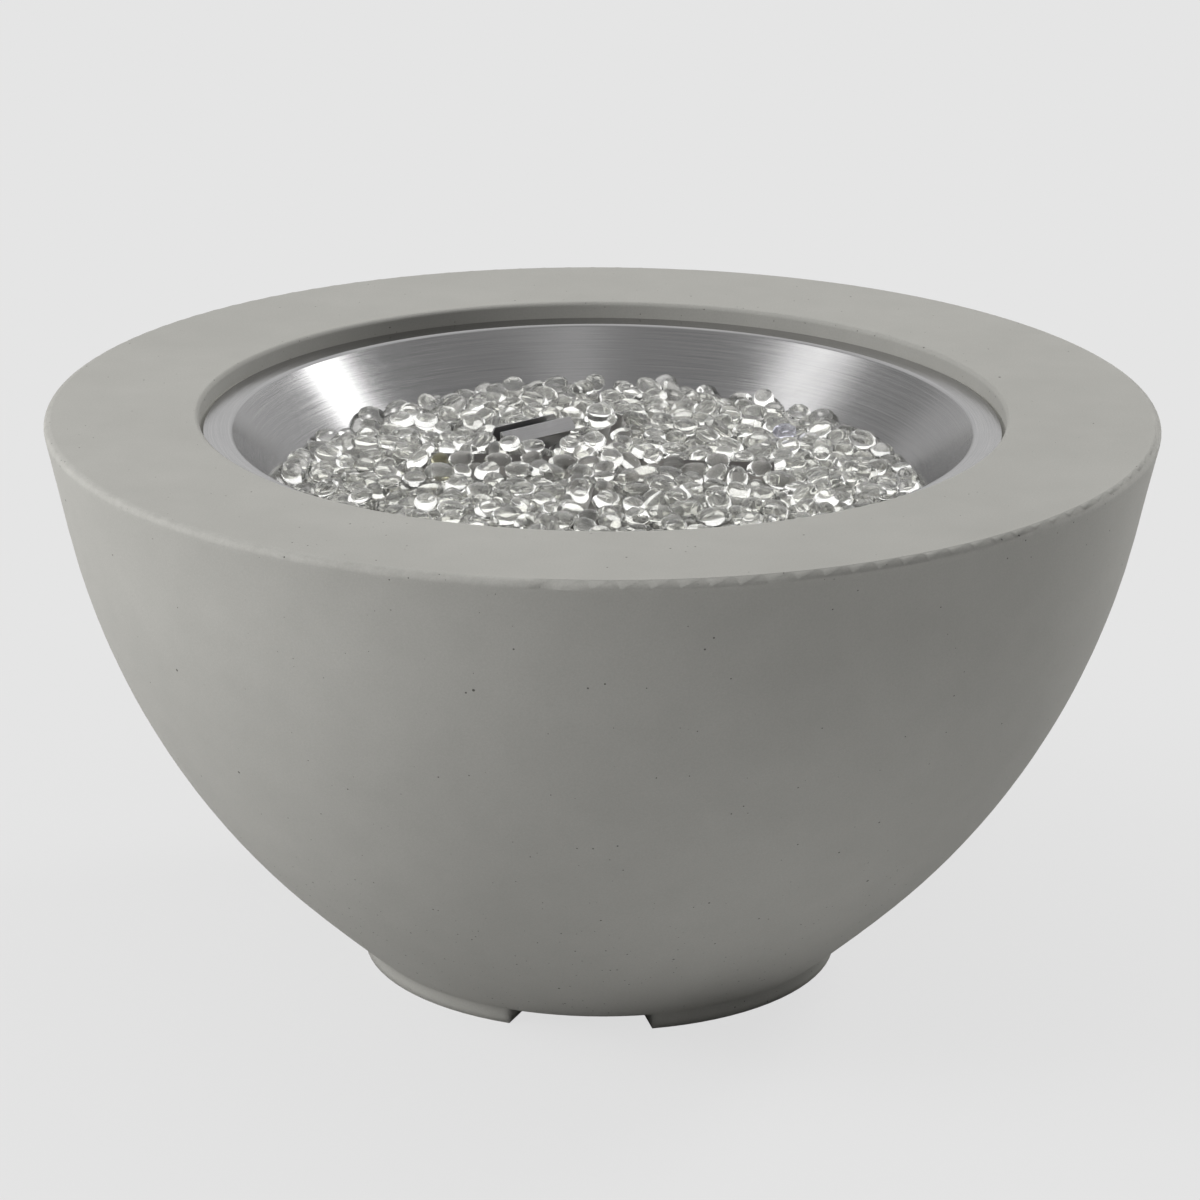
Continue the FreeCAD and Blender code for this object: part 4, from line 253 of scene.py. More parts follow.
def concrete(settings):
    top = CAD_BOX[1][2]
    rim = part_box("concrete_bowl")[1].x
    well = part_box("burner_pan")[1].x + SEAT_CLEARANCE

    def paint(n, place):
        height = n.axes(place)[2]
        reach = n.vector("LENGTH", n.vector("MULTIPLY", place, (1.0, 1.0, 0.0)))
        cloud = n.effect("Mottle", place, {"Clouds per Metre": 5.0})
        sand = n.effect("Grain", place)

        # The cast skin is closed, with more pinholes towards the foot, along the rim's edge and in the well
        low = n.ramp(height, 0.20, 0.01, smooth=True)
        foot = n.ramp(height, 0.085, 0.025, smooth=True)
        edge = n.times(n.ramp(height, top - 0.009, top - 0.003),
                      n.ramp(reach, rim - 0.0065, rim - 0.0025))
        patchy = n.ramp(n.noise(place, 9.0), 0.35, 0.65)
        share = n.times(n.times(low, patchy), 0.85, 0.13)
        for more in (foot, edge, n.ramp(reach, well + 0.001, well)):
            share = n.times(more, 0.5, share)
        pinholes = n.effect("Cast Pores", place, {"Cells per Metre": 200.0, "Share of Cells": share,
                                                  "Largest Radius": settings.pore_size * 0.65})
        bubbles = n.effect("Cast Pores", place, {"Share of Cells": n.times(share, 0.45),
                                                 "Largest Radius": settings.pore_size})
        hole = n.math("MAXIMUM", pinholes, bubbles)

        # The rim's edge is rubbed pale, with small breaks in it; the pale band is partly real wear and partly
        # a painted highlight along the edge
        wear_and_highlight = n.ramp(n.noise(place, 120.0, 5.0, 0.7), 0.36, 0.6)
        skin = n.mix(cloud, tuple(settings.shade), tuple(settings.tint))
        # Paler tone along the rim's edge: wear, and partly a painted highlight
        skin = n.mix(n.times(n.times(edge, wear_and_highlight), 0.35), skin, color(192, 191, 186))
        skin = n.mix(n.ramp(sand, 0.35, 0.7, 0.0, 0.16), skin, color(118, 117, 112))
        skin = n.mix(n.times(hole, 0.8), skin, color(62, 61, 57))
        relief = n.math("SUBTRACT", n.times(sand, 0.08), hole)
        chips = n.times(edge, n.noise(place, 210.0, 4.0, 0.7))
        # The foot runs softly into the belly
        fillet = n.ramp(height, 0.026, 0.014, 0.0, 0.008)
        soft = n.add("ShaderNodeBevel", {"Radius": fillet}, samples=6).outputs[0]
        normal = n.bump(relief, 0.5, 0.0008, Normal=n.bump(chips, 0.35, 0.0009, Normal=soft))
        return {"Base Color": skin, "Roughness": n.ramp(cloud, 0.0, 1.0, 0.76, 0.86), "Normal": normal}
    return finish_material("concrete", paint, Specular_IOR_Level=0.3)


def stainless(settings):
    def paint(n, place):
        line = n.effect("Turned Lines", place, {"Line Width": 0.0007, "Breaks Round": 3.0})
        mark = n.effect("Handling", place, {"Marks per Metre": 14.0})
        shade = n.mix(line, color(150, 150, 152), tuple(settings.steel))
        rough = n.math("ADD", n.ramp(line, 0.3, 0.7, 0.12, 0.20), n.times(mark, 0.06))
        return {"Base Color": shade, "Roughness": rough, "Normal": n.bump(line, 0.12, 0.0003),
                "Tangent": n.add("ShaderNodeTangent", direction_type="RADIAL", axis="Z").outputs[0]}
    return finish_material("stainless", paint, Metallic=1.0, Anisotropic=0.75)


def folded_stainless(name, dark, light):
    """Sheet stainless with the mill's lines: bright on the guard, dulled by heat on the burner."""
    def paint(n, place):
        lie = (0.0, 0.0, math.radians(-45.0))
        turned = n.add("ShaderNodeMapping", {"Vector": place, "Rotation": lie}).outputs[0]
        line = n.effect("Straight Lines", turned, {"Stretch": (60.0, 2600.0, 2600.0)})
        mark = n.effect("Handling", place, {"Marks per Metre": 60.0})
        shade = n.mix(line, color(*dark), color(*light))
        rough = n.math("ADD", n.ramp(line, 0.3, 0.7, 0.30, 0.42), n.times(mark, 0.12))
        return {"Base Color": shade, "Roughness": rough, "Normal": n.bump(line, 0.2, 0.0003)}
    return finish_material(name, paint, Metallic=1.0)


def metal(name, light, dark, rough, marks, metallic=1.0, relief=0.1):
    """A machined or plated metal: two tones in soft clouds, handling marks and a close grain."""
    def paint(n, place):
        cloud = n.effect("Mottle", place, {"Clouds per Metre": marks})
        mark = n.effect("Handling", place, {"Marks per Metre": marks * 2.0})
        skin = n.effect("Grain", place)
        worn = n.times(cloud, 0.7, n.times(mark, 0.3))
        shade = n.mix(worn, color(*light), color(*dark))
        return {"Base Color": shade, "Roughness": n.times(mark, 0.16, rough),
                "Normal": n.bump(skin, relief, 0.0004)}
    return finish_material(name, paint, Metallic=metallic)


def moulded(name, tone, worn, rough, relief=0.25, coat=0.0):
    """Moulded plastic or rubber: fine grain, with handling that polishes it."""
    def paint(n, place):
        skin = n.effect("Grain", place, {"Grains per Metre": 1500.0})
        mark = n.effect("Handling", place, {"Marks per Metre": 70.0})
        return {"Base Color": n.mix(n.times(mark, 0.5), color(*tone), color(*worn)),
                "Roughness": n.times(mark, -0.12, rough),
                "Normal": n.bump(skin, relief, 0.0003)}
    return finish_material(name, paint, Coat_Weight=coat, Coat_Roughness=0.2)


# Heights between which the flame's heat colours the electrode, from straw to blue, and soots its sleeve
STRAW_HEIGHTS = (0.334, 0.342)
BLUE_HEIGHTS = (0.343, 0.348)
DULL_HEIGHTS = (0.330, 0.350)
SOOT_HEIGHTS = (0.336, 0.350)


def heated_steel():
    """Electrode rod: bare near the ceramic, straw and blue towards its hot end."""
    def paint(n, place):
        wander = n.times(n.noise(place, 220.0, 3.0), 0.008, n.axes(place)[2])
        straw = n.mix(n.ramp(wander, *STRAW_HEIGHTS), color(168, 164, 158), color(158, 128, 84))
        blue = n.mix(n.ramp(wander, *BLUE_HEIGHTS), straw, color(92, 98, 122))
        return {"Base Color": blue, "Roughness": n.ramp(wander, *DULL_HEIGHTS, 0.28, 0.5),
                "Normal": n.bump(n.noise(place, 1800.0), 0.15, 0.0003)}
    return finish_material("electrode_steel", paint, Metallic=1.0)


def ceramic():
    def paint(n, place):
        wander = n.times(n.noise(place, 160.0, 3.0), 0.01, n.axes(place)[2])
        soot = n.ramp(wander, *SOOT_HEIGHTS)
        speck = n.effect("Cast Pores", place, {"Cells per Metre": 900.0, "Share of Cells": 0.12,
                                               "Largest Radius": 0.0002})
        clean = n.mix(n.times(speck, 0.5), color(236, 232, 222), color(150, 140, 124))
        return {"Base Color": n.mix(n.times(soot, 0.6), clean, color(120, 110, 98)),
                "Roughness": n.ramp(n.noise(place, 300.0), 0.3, 0.7, 0.16, 0.3),
                "Normal": n.bump(n.noise(place, 700.0), 0.08, 0.0003)}
    return finish_material("ceramic", paint, Coat_Weight=0.4, Coat_Roughness=0.1)


def fire_glass(settings):
    def paint(n, place):
        own = n.add("ShaderNodeAttribute", attribute_name="tone").outputs["Color"]
        film = n.noise(place, 90.0, 3.0)
        return {"Base Color": own, "Roughness": n.ramp(film, 0.5, 0.75, 0.0, 0.06),
                "Normal": n.bump(n.noise(place, 120.0, 1.0), 0.05, 0.0010)}
    return finish_material("fire_glass", paint, Transmission_Weight=settings.clearness, IOR=1.5, Metallic=0.0)


def make_finishes():
    """Every finish by its name: those of the record's material slots, and a few more."""
    looks = bpy.context.scene.fire_bowl
    made = (
        concrete(looks.cast),
        stainless(looks.metalwork),
        metal("zinc_steel", (188, 190, 196), (150, 152, 156), rough=0.34, marks=60.0),
        metal("brass", (206, 174, 106), (184, 150, 84), rough=0.28, marks=45.0),
        metal("steel_pipe", (120, 121, 124), (84, 84, 86), rough=0.48, marks=40.0, relief=0.35),
        ceramic(),
        heated_steel(),
        metal("stem_steel", (200, 200, 198), (166, 165, 162), rough=0.24, marks=90.0),
        metal("spring_steel", (182, 182, 180), (140, 138, 132), rough=0.3, marks=160.0),
        moulded("knob_plastic", (30, 30, 31), (52, 52, 53), rough=0.46),
        metal("bezel", (196, 196, 198), (172, 172, 176), rough=0.26, marks=50.0),
        moulded("igniter_plastic", (38, 38, 40), (60, 60, 62), rough=0.4),
        moulded("button_plastic", (22, 22, 23), (44, 44, 45), rough=0.3, coat=0.3),
        metal("battery", (70, 74, 84), (46, 48, 56), rough=0.34, marks=70.0, metallic=0.5),
        moulded("rubber", (44, 43, 42), (66, 64, 62), rough=0.66, relief=0.4),
        metal("copper", (196, 124, 86), (146, 88, 62), rough=0.32, marks=120.0),
        metal("gas_line", (196, 196, 192), (150, 150, 148), rough=0.3, marks=80.0),
        fire_glass(looks.glass),
        folded_stainless("folded_stainless", dark=(158, 157, 158), light=(200, 199, 199)),
        folded_stainless("burner_steel", dark=(112, 110, 108), light=(146, 143, 140)),
        moulded("mark_paint", (226, 226, 222), (196, 195, 190), rough=0.5),
    )
    return {material.name: material for material in made}


FINISHES = {}


def finish(name):
    """A finish by its name. The first call makes them all."""
    if not FINISHES:
        FINISHES.update(make_finishes())
    return FINISHES[name]


def finish_nodes(names, other=None):
    """Gives CAD nodes their finish: the one of their record slot, unless another is named."""
    for name in names:
        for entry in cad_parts[name].material_slots:
            entry.material = finish(other or entry.material.name.split("_plain")[0].split(".")[0])


# ---- settings

TONE = {"subtype": "COLOR", "size": 4, "min": 0, "max": 1}


class CastSettings(bpy.types.PropertyGroup):
    tint: bpy.props.FloatVectorProperty(
        name="Light Tone", description="Lighter tone of the cast concrete",
        default=color(179, 178, 173), **TONE)
    shade: bpy.props.FloatVectorProperty(
        name="Dark Tone", description="Darker tone of the cast concrete",
        default=color(172, 171, 166), **TONE)
    pore_size: bpy.props.FloatProperty(
        name="Pore Radius", description="Radius of the largest pinhole",
        unit="LENGTH", min=0.0002, max=0.004, default=0.0013)


class MetalworkSettings(bpy.types.PropertyGroup):
    steel: bpy.props.FloatVectorProperty(
        name="Steel", description="Tone of the spun stainless steel", default=color(206, 205, 204), **TONE)


class GlassSettings(bpy.types.PropertyGroup):
    tone: bpy.props.FloatVectorProperty(
        name="Glass", description="Tone of the clear glass pebbles", default=color(251, 251, 248), **TONE)
    clearness: bpy.props.FloatProperty(
        name="Clearness", description="How much light goes through the glass",
        subtype="FACTOR", min=0, max=1, default=0.94)
    width: bpy.props.FloatProperty(
        name="Half Width", description="Half the width of a middling pebble",
        unit="LENGTH", min=0.004, max=0.015, default=0.0080)
    thickness: bpy.props.FloatProperty(
        name="Half Thickness", description="Half the thickness of a middling pebble",
        unit="LENGTH", min=0.002, max=0.01, default=0.0058)
    count: bpy.props.IntProperty(
        name="Pebbles", description="How many pebbles fill the pan", min=100, max=3000, default=1320)
    depth: bpy.props.FloatProperty(
        name="Depth", description="Depth of the glass at the pan's wall",
        unit="LENGTH", min=0.01, max=0.05, default=0.0260)
    crown: bpy.props.FloatProperty(
        name="Crown", description="How much higher the glass lies in the middle",
        unit="LENGTH", min=0, max=0.02, default=0.0080)
    seed: bpy.props.IntProperty(
        name="Seed", description="Which of the possible heaps is made", min=0, default=7)


class LineSettings(bpy.types.PropertyGroup):
    radius: bpy.props.FloatProperty(
        name="Line Radius", description="Outer radius of the gas lines",
        unit="LENGTH", min=0.003, max=0.01, default=0.005)
    pitch: bpy.props.FloatProperty(
        name="Corrugation", description="Distance from one corrugation to the next",
        unit="LENGTH", min=0.001, max=0.01, default=0.0036)
    depth: bpy.props.FloatProperty(
        name="Groove", description="Depth of the corrugations",
        unit="LENGTH", min=0, max=0.002, default=0.0011)


class StudioSettings(bpy.types.PropertyGroup):
    backdrop: bpy.props.FloatVectorProperty(
        name="Backdrop", description="Tone of the floor and the background",
        default=color(229, 229, 229), **TONE)
    left_power: bpy.props.FloatProperty(
        name="Left Lamp", description="Power of the wide lamp on the left", unit="POWER", min=0, default=93.0)
    right_power: bpy.props.FloatProperty(
        name="Right Lamp", description="Power of the lamp behind, on the right",
        unit="POWER", min=0, default=70.0)
    fill: bpy.props.FloatProperty(
        name="Fill", description="Soft light that comes from overhead", min=0, max=2, default=0.56)
    ceiling: bpy.props.FloatProperty(
        name="Ceiling", description="Brightness of the room overhead, as metal mirrors it",
        min=0, max=2, default=0.34)
    through_glass: bpy.props.FloatProperty(
        name="Through Glass", description="How much brighter the room is through glass",
        min=0, max=4, default=0.95)
    walls: bpy.props.FloatProperty(
        name="Walls", description="Brightness of the room all round, as metal mirrors it",
        min=0, max=2, default=0.62)


class FireBowlSettings(bpy.types.PropertyGroup):
    cast: bpy.props.PointerProperty(type=CastSettings)
    metalwork: bpy.props.PointerProperty(type=MetalworkSettings)
    glass: bpy.props.PointerProperty(type=GlassSettings)
    lines: bpy.props.PointerProperty(type=LineSettings)
    studio: bpy.props.PointerProperty(type=StudioSettings)


# ---- pieces

def linked(name, data):
    """A new object in the scene."""
    made = bpy.data.objects.new(name, data)
    bpy.context.scene.collection.objects.link(made)
    return made


def placed(name, data, body="root"):
    """A new piece, which rides on a body."""
    piece = linked(name, data)
    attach(piece, body)
    return piece


def new_piece(name, bm, look, body="root"):
    """Turns a finished bmesh into a smooth-shaded piece that rides on a body."""
    bmesh.ops.recalc_face_normals(bm, faces=bm.faces)
    mesh = bpy.data.meshes.new(name)
    bm.to_mesh(mesh)
    bm.free()
    mesh.shade_smooth()
    mesh.materials.append(finish(look))
    return placed(name, mesh, body)


# ---- glass pebbles

PAN_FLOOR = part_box("glass_gems")[0].z
PAN_FLOOR_RADIUS = 0.1954
PAN_ANGLE = math.radians(46.0)
BED_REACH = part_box("glass_gems")[1].x
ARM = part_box("burner_cross")[1]
ARM_HALF_WIDTH = 0.012
ARM_WALL = PAN_FLOOR + 0.0156
GUARD_MIDDLE = sum(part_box("igniter_guard"), Vector()) / 2
GUARD_HALF_LENGTH = 0.0305
GUARD_HALF_WIDTH = 0.0075
LOW_SPOT = np.array([GUARD_MIDDLE.x + 0.012, GUARD_MIDDLE.y - 0.012])
LOW_SPOT_REACH = 0.030
LOW_SPOT_DEPTH = 0.012

# Sizes that the pebbles come in, and where they are before they drop
SIZES = (0.84, 1.14)
DROP_REACH = 0.195
DROP_HEIGHTS = (PAN_FLOOR + 0.01, PAN_FLOOR + 0.085)
# How far a pebble falls in a step, at first and later, and the share of an overlap that is parted at a time
FALL = 0.0009
SINK = 0.0003
PARTING = 0.3
# How far past touching a pebble still counts as a neighbour, in half widths
NEARBY = 0.3
# Share of its half width that a pebble keeps from the line of a ridge and from the guard's ends
OFF_RIDGE = 0.72
OFF_END = 0.95


class Heap:
    """Pebbles that drop into the pan and come to rest.

    Each one is a flat spheroid, so the heap settles as balls do in a space whose height is stretched.
    """

    def __init__(self, settings):
        draw = np.random.default_rng(settings.seed)
        self.count = settings.count
        self.shape = np.array([settings.width, settings.width, settings.thickness])
        self.size = draw.uniform(*SIZES, self.count)
        angle = draw.uniform(0, math.tau, self.count)
        reach = np.sqrt(draw.uniform(0, 1, self.count)) * DROP_REACH
        height = draw.uniform(*DROP_HEIGHTS, self.count)
        self.place = np.c_[reach * np.cos(angle), reach * np.sin(angle), height]
        self.top = PAN_FLOOR + settings.depth
        self.crown = settings.crown

    def support(self, across, up):
        """How far each pebble reaches in a direction."""
        return self.size * math.hypot(self.shape[0] * across, self.shape[2] * up)

    def neighbours(self):
        """Pairs of pebbles that touch or nearly do."""
        scaled = self.place / self.shape
        tree = kdtree.KDTree(self.count)
        for i, point in enumerate(scaled):
            tree.insert(point, i)
        tree.balance()
        pairs = [(i, j) for i, point in enumerate(scaled)
                 for _, j, _ in tree.find_range(point, self.size[i] * 2 + NEARBY) if j > i]
        return np.array(pairs).T

    def part(self, first, second):
        """Moves pairs that overlap apart."""
        apart = (self.place[second] - self.place[first]) / self.shape
        gap = np.linalg.norm(apart, axis=1)
        deep = np.clip(self.size[first] + self.size[second] - gap, 0, None)
        move = apart / np.maximum(gap, 1e-6)[:, None] * (deep * PARTING)[:, None] * self.shape
        np.add.at(self.place, first, -move)
        np.add.at(self.place, second, move)

    def push_out(self, faces):
        """Moves pebbles out through the nearest face of an obstacle, from (distance, direction) pairs."""
        distance = np.stack([each for each, _ in faces])
        nearest, depth = distance.argmax(0), distance.max(0)
        for number, (_, direction) in enumerate(faces):
            inside = (nearest == number) & (depth < 0)
            self.place[inside] -= direction[inside] * depth[inside][:, None]

    def clear_arm(self, along, across):
        """Keeps pebbles out of the burner's arms along one axis, and off their ridges."""
        side = np.where(self.place[:, across] < 0, -1.0, 1.0)
        off = np.abs(self.place[:, across])
        pitch = math.atan2(ARM.z - ARM_WALL, ARM_HALF_WIDTH)
        out, up = math.sin(pitch), math.cos(pitch)
        wall, roof, end = np.zeros((3, self.count, 3))
        wall[:, across] = side
        roof[:, across], roof[:, 2] = side * out, up
        end[:, along] = np.where(self.place[:, along] < 0, -1.0, 1.0)
        over_roof = out * (off - ARM_HALF_WIDTH) + up * (self.place[:, 2] - ARM_WALL)
        self.push_out([
            (off - ARM_HALF_WIDTH - self.support(1, 0), wall),
            (over_roof - self.support(out, up), roof),
            (np.abs(self.place[:, along]) - ARM.x - self.support(1, 0), end),
        ])
        bare = self.support(OFF_RIDGE, 0)
        astride = (np.abs(self.place[:, along]) < ARM.x) & (off < bare)
        self.place[astride, across] = (side * bare)[astride]

    def clear_guard(self):
        """Keeps pebbles out of the guard, which stands at 45 degrees."""
        lengthwise = np.array([1, 1, 0]) / math.sqrt(2)
        crosswise = np.array([-1, 1, 0]) / math.sqrt(2)
        flat = self.place - np.array([GUARD_MIDDLE.x, GUARD_MIDDLE.y, 0])
        along, across = flat @ lengthwise, flat @ crosswise
        self.push_out([
            (np.abs(along) - GUARD_HALF_LENGTH - self.support(OFF_END, 0),
             np.sign(along)[:, None] * lengthwise),
            (np.abs(across) - GUARD_HALF_WIDTH - self.support(1, 0), np.sign(across)[:, None] * crosswise),
        ])

    def stay_in_pan(self):
        """Keeps pebbles above the pan's floor and inside its sloping wall."""
        out, up = math.sin(PAN_ANGLE), math.cos(PAN_ANGLE)
        off = np.maximum(np.linalg.norm(self.place[:, :2], axis=1), 1e-6)
        past = (off - PAN_FLOOR_RADIUS) * out - (self.place[:, 2] - PAN_FLOOR) * up + self.support(out, up)
        past = np.clip(past, 0, None)
        self.place[:, :2] -= self.place[:, :2] / off[:, None] * (past * out)[:, None]
        self.place[:, 2] += past * up
        self.place[:, 2] = np.maximum(self.place[:, 2], PAN_FLOOR + self.size * self.shape[2])

    def level(self, resting):
        """Presses down what stands above the raked surface, which is low before the guard's lip."""
        off = np.linalg.norm(self.place[:, :2], axis=1) / BED_REACH
        before = np.linalg.norm(self.place[:, :2] - LOW_SPOT, axis=1) / LOW_SPOT_REACH
        surface = self.top + self.crown * (1 - off ** 2) - LOW_SPOT_DEPTH * np.exp(-before ** 2)
        proud = self.place[:, 2] + self.size * self.shape[2] - surface
        if resting:
            proud[before > 1.0] = 0.0
        self.place[:, 2] -= np.clip(proud, 0, None) * 0.5

    def settle(self, steps=160):
        """Drops the heap, presses it level, and lets it rest."""
        for step in range(steps):
            dropping, resting = step < steps * 0.5, step > steps * 0.85
            self.place[:, 2] -= 0.0 if resting else FALL if dropping else SINK
            if step % 4 == 0:
                first, second = self.neighbours()
            for _ in range(3):
                if not dropping:
                    self.level(resting)
                self.part(first, second)
                self.clear_arm(0, 1)
                self.clear_arm(1, 0)
                self.clear_guard()
                self.stay_in_pan()


# Pebbles that the eye finds at once: where they are, and their tone
ODD_PEBBLES = (
    ((-0.1121, -0.0036), color(216, 213, 184)),
    ((0.1251, 0.1154), color(238, 238, 251)),
)
# Pebbles that lie on top of the heap, at its far side
STRAY_PEBBLES = ((-0.0192, 0.1700), (0.0575, 0.1606), (-0.0755, 0.1593), (-0.0260, 0.1560), (0.0940, 0.1330))
STRAY_SIZE = 1.05
GLASS_TOP = 0.36
FORMS = 14
# Half length, half width and half thickness of a pebble, as shares of the middling one
LENGTHS, WIDTHS, THICKNESSES = (1.04, 1.40), (0.84, 0.98), (0.86, 1.06)
# How far a pebble leans, in radians: as spread and at most
LEAN, MOST_LEAN = 0.30, 0.75


def pebble_shapes():
    """The rounded forms that the pebbles take in turn, each as its points and faces about a middle of one."""
    shapes = []
    for kind in range(FORMS):
        bm = bmesh.new()
        bmesh.ops.create_icosphere(bm, subdivisions=2, radius=1.0)
        for vert in bm.verts:
            vert.co *= 1.0 + 0.10 * noise.noise(vert.co * 0.9 + Vector((kind * 9.7, 3.1, 0.4)))
            if kind % 5 == 3:
                vert.co.z = max(vert.co.z, -0.7)
        bm.verts.index_update()
        points = [vert.co.copy() for vert in bm.verts]
        shapes.append((points, [[vert.index for vert in face.verts] for face in bm.faces]))
        bm.free()
    return shapes


def make_pebbles(settings):
    """One mesh of all the glass pebbles, each a rounded oval of its own."""
    heap = Heap(settings)
    heap.settle()
    spots = [(Vector(place), size) for place, size in zip(heap.place, heap.size)]
    for x, y in STRAY_PEBBLES:
        under = [place.z for place, _ in spots
                 if math.hypot(place.x - x, place.y - y) < settings.width * 1.3]
        spots.append((Vector((x, y, max(under) + settings.thickness * 1.5)), STRAY_SIZE))
    draw = random.Random(settings.seed)
    shapes = pebble_shapes()
    odd = {min(range(len(spots)), key=lambda i: (spots[i][0] - Vector((*where, GLASS_TOP))).length): tone
           for where, tone in ODD_PEBBLES}
    bm = bmesh.new()
    tone_layer = bm.verts.layers.float_color.new("tone")
    for number, (spot, scale) in enumerate(spots):
        points, faces = draw.choice(shapes)
        lean = Matrix.Rotation(min(abs(draw.gauss(0, LEAN)), MOST_LEAN), 4, "X")
        turn, roll = (Matrix.Rotation(draw.uniform(0, math.tau), 4, "Z") for _ in range(2))
        stretch = Matrix.Diagonal((
            settings.width * scale * draw.uniform(*LENGTHS),
            settings.width * scale * draw.uniform(*WIDTHS),
            settings.thickness * scale * draw.uniform(*THICKNESSES),
            1.0,
        ))
        place = Matrix.Translation(spot) @ (turn @ lean @ roll) @ stretch
        tone = odd.get(number, tuple(Vector(settings.tone) * draw.uniform(0.95, 1.0)))
        verts = [bm.verts.new(place @ point) for point in points]
        for vert in verts:
            vert[tone_layer] = (*tone[:3], 1.0)
        for face in faces:
            bm.faces.new([verts[i] for i in face])
    return new_piece("glass_pebbles", bm, "fire_glass")


# ---- leads and gas lines

# Routes in millimetres: the points that steer each curve, from the controls to the burner or the inlet
MM = 0.001
IGNITION_ROUTE = ((-33, 230.4, 242.5), (-33, 208.8, 253.0), (-40, 168, 262), (-48, 122, 256), (-57, 85, 247),
                  (-61, 56, 247), (-62.93, 44.55, 268), (-62.93, 44.55, 292))
THERMOCOUPLE_ROUTE = ((27, 273.2, 250.5), (27, 283.7, 272.1), (24, 262, 294), (14, 215, 292), (-3, 165, 284),
                      (-22, 115, 276), (-40, 80, 262), (-45.96, 61.52, 279), (-45.96, 61.52, 302))
BURNER_ROUTE = ((27, 238.5, 238.6), (27, 200.7, 257.0), (0, 134, 268), (0, 98, 268))
SUPPLY_ROUTE = ((27, 256.9, 185.1), (27, 241.1, 152.7), (25, 199, 126), (20, 122, 132), (2, 45, 150),
                (0, 0, 105), (0, 0, 58.5))


def route_curve(name, route):
    """A smooth curve that follows a route."""
    curve = bpy.data.curves.new(name, "CURVE")
    curve.dimensions = "3D"
    spline = curve.splines.new("NURBS")
    spline.points.add(len(route) - 1)
    for point, place in zip(spline.points, route):
        point.co = (*(Vector(place) * MM), 1.0)
    spline.order_u = 3
    spline.use_endpoint_u = True
    spline.resolution_u = 16
    return curve


def centreline(curve):
    """The points that a curve runs through, before it has a thickness."""
    probe = linked("probe", curve)
    bpy.context.view_layer.update()
    mesh = bpy.data.meshes.new_from_object(probe.evaluated_get(bpy.context.evaluated_depsgraph_get()))
    points = [vert.co.copy() for vert in mesh.vertices]
    bpy.data.objects.remove(probe)
    bpy.data.meshes.remove(mesh)
    return points


def run_length(points):
    return sum((after - before).length for before, after in zip(points, points[1:]))


def make_lead(node, route, radius, look):
    """A round wire along its route, in place of the CAD node."""
    curve = route_curve(node + "_run", route)
    points = centreline(curve)
    curve.bevel_depth = radius
    curve.bevel_resolution = 4
    curve.use_fill_caps = True
    curve.materials.append(finish(look))
    piece = placed(node + "_run", curve)
    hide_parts(node)
    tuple(points[0])
    run_length(points)


def stations(points, spacing):
    """Evenly spaced places along a run of points: how far along, where, and which way it goes there."""
    whole = run_length(points)
    count = round(whole / spacing)
    wanted = [whole * i / count for i in range(count + 1)]
    passed = 0.0
    for before, after in zip(points, points[1:]):
        step = after - before
        while wanted and wanted[0] <= passed + step.length + 1e-9:
            along = wanted.pop(0)
            yield along, before + step.normalized() * (along - passed), step.normalized()
        passed += step.length


def sweep(bm, line, radius_at, sides):
    """A closed tube round a line of stations, whose radius depends on how far along it is."""
    rings = []
    across = None
    for along, middle, ahead in line:
        across = ahead.orthogonal() if across is None else across - ahead * across.dot(ahead)
        across.normalize()
        up = ahead.cross(across)
        angles = [math.tau * i / sides for i in range(sides)]
        spokes = [across * math.cos(angle) + up * math.sin(angle) for angle in angles]
        rings.append([bm.verts.new(middle + spoke * radius_at(along)) for spoke in spokes])
    for near, far in zip(rings, rings[1:]):
        for i in range(sides):
            bm.faces.new((near[i], near[i - 1], far[i - 1], far[i]))
    bm.faces.new(rings[0])
    bm.faces.new(rings[-1][::-1])


# Plain length at each end of a gas line
CUFF = 0.016


def make_gas_line(node, route, settings):
    """A corrugated stainless line with plain cuffs at its ends, in place of the CAD node."""
    points = centreline(route_curve(node + "_run", route))
    whole = run_length(points)
    radius, pitch, depth = settings.radius, settings.pitch, settings.depth

    def radius_at(along):
        if min(along, whole - along) < CUFF:
            return radius - depth / 2
        return radius - depth * (0.5 - 0.5 * math.cos(math.tau * (along - CUFF) / pitch))

    bm = bmesh.new()
    sweep(bm, stations(points, pitch / 4), radius_at, sides=16)
    piece = new_piece(node + "_run", bm, "gas_line")
    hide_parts(node)
    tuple(points[0])


# ---- screw threads, springs and the knob's mark

def coiled(section, foot, ahead, climb, turns, sides):
    """A section of (out from the axis, along the axis) pairs, spun round from the foot while it climbs."""
    across = ahead.orthogonal().normalized()
    bm = bmesh.new()
    ring = [bm.verts.new(foot + across * out + ahead * along) for out, along in section]
    edges = [bm.edges.new((ring[i - 1], ring[i])) for i in range(len(ring))]
    steps = round(turns * sides)
    bmesh.ops.spin(bm, geom=ring + edges, cent=foot, axis=ahead, dvec=ahead * (climb / steps),
                   angle=math.tau * turns, steps=steps)
    bmesh.ops.holes_fill(bm, edges=bm.edges[:])
    return bm


# Both threads have this pitch, and roots just inside the plain round end that they are cut on
THREAD_PITCH = 0.0018
ROOT_DEPTH = 0.0001


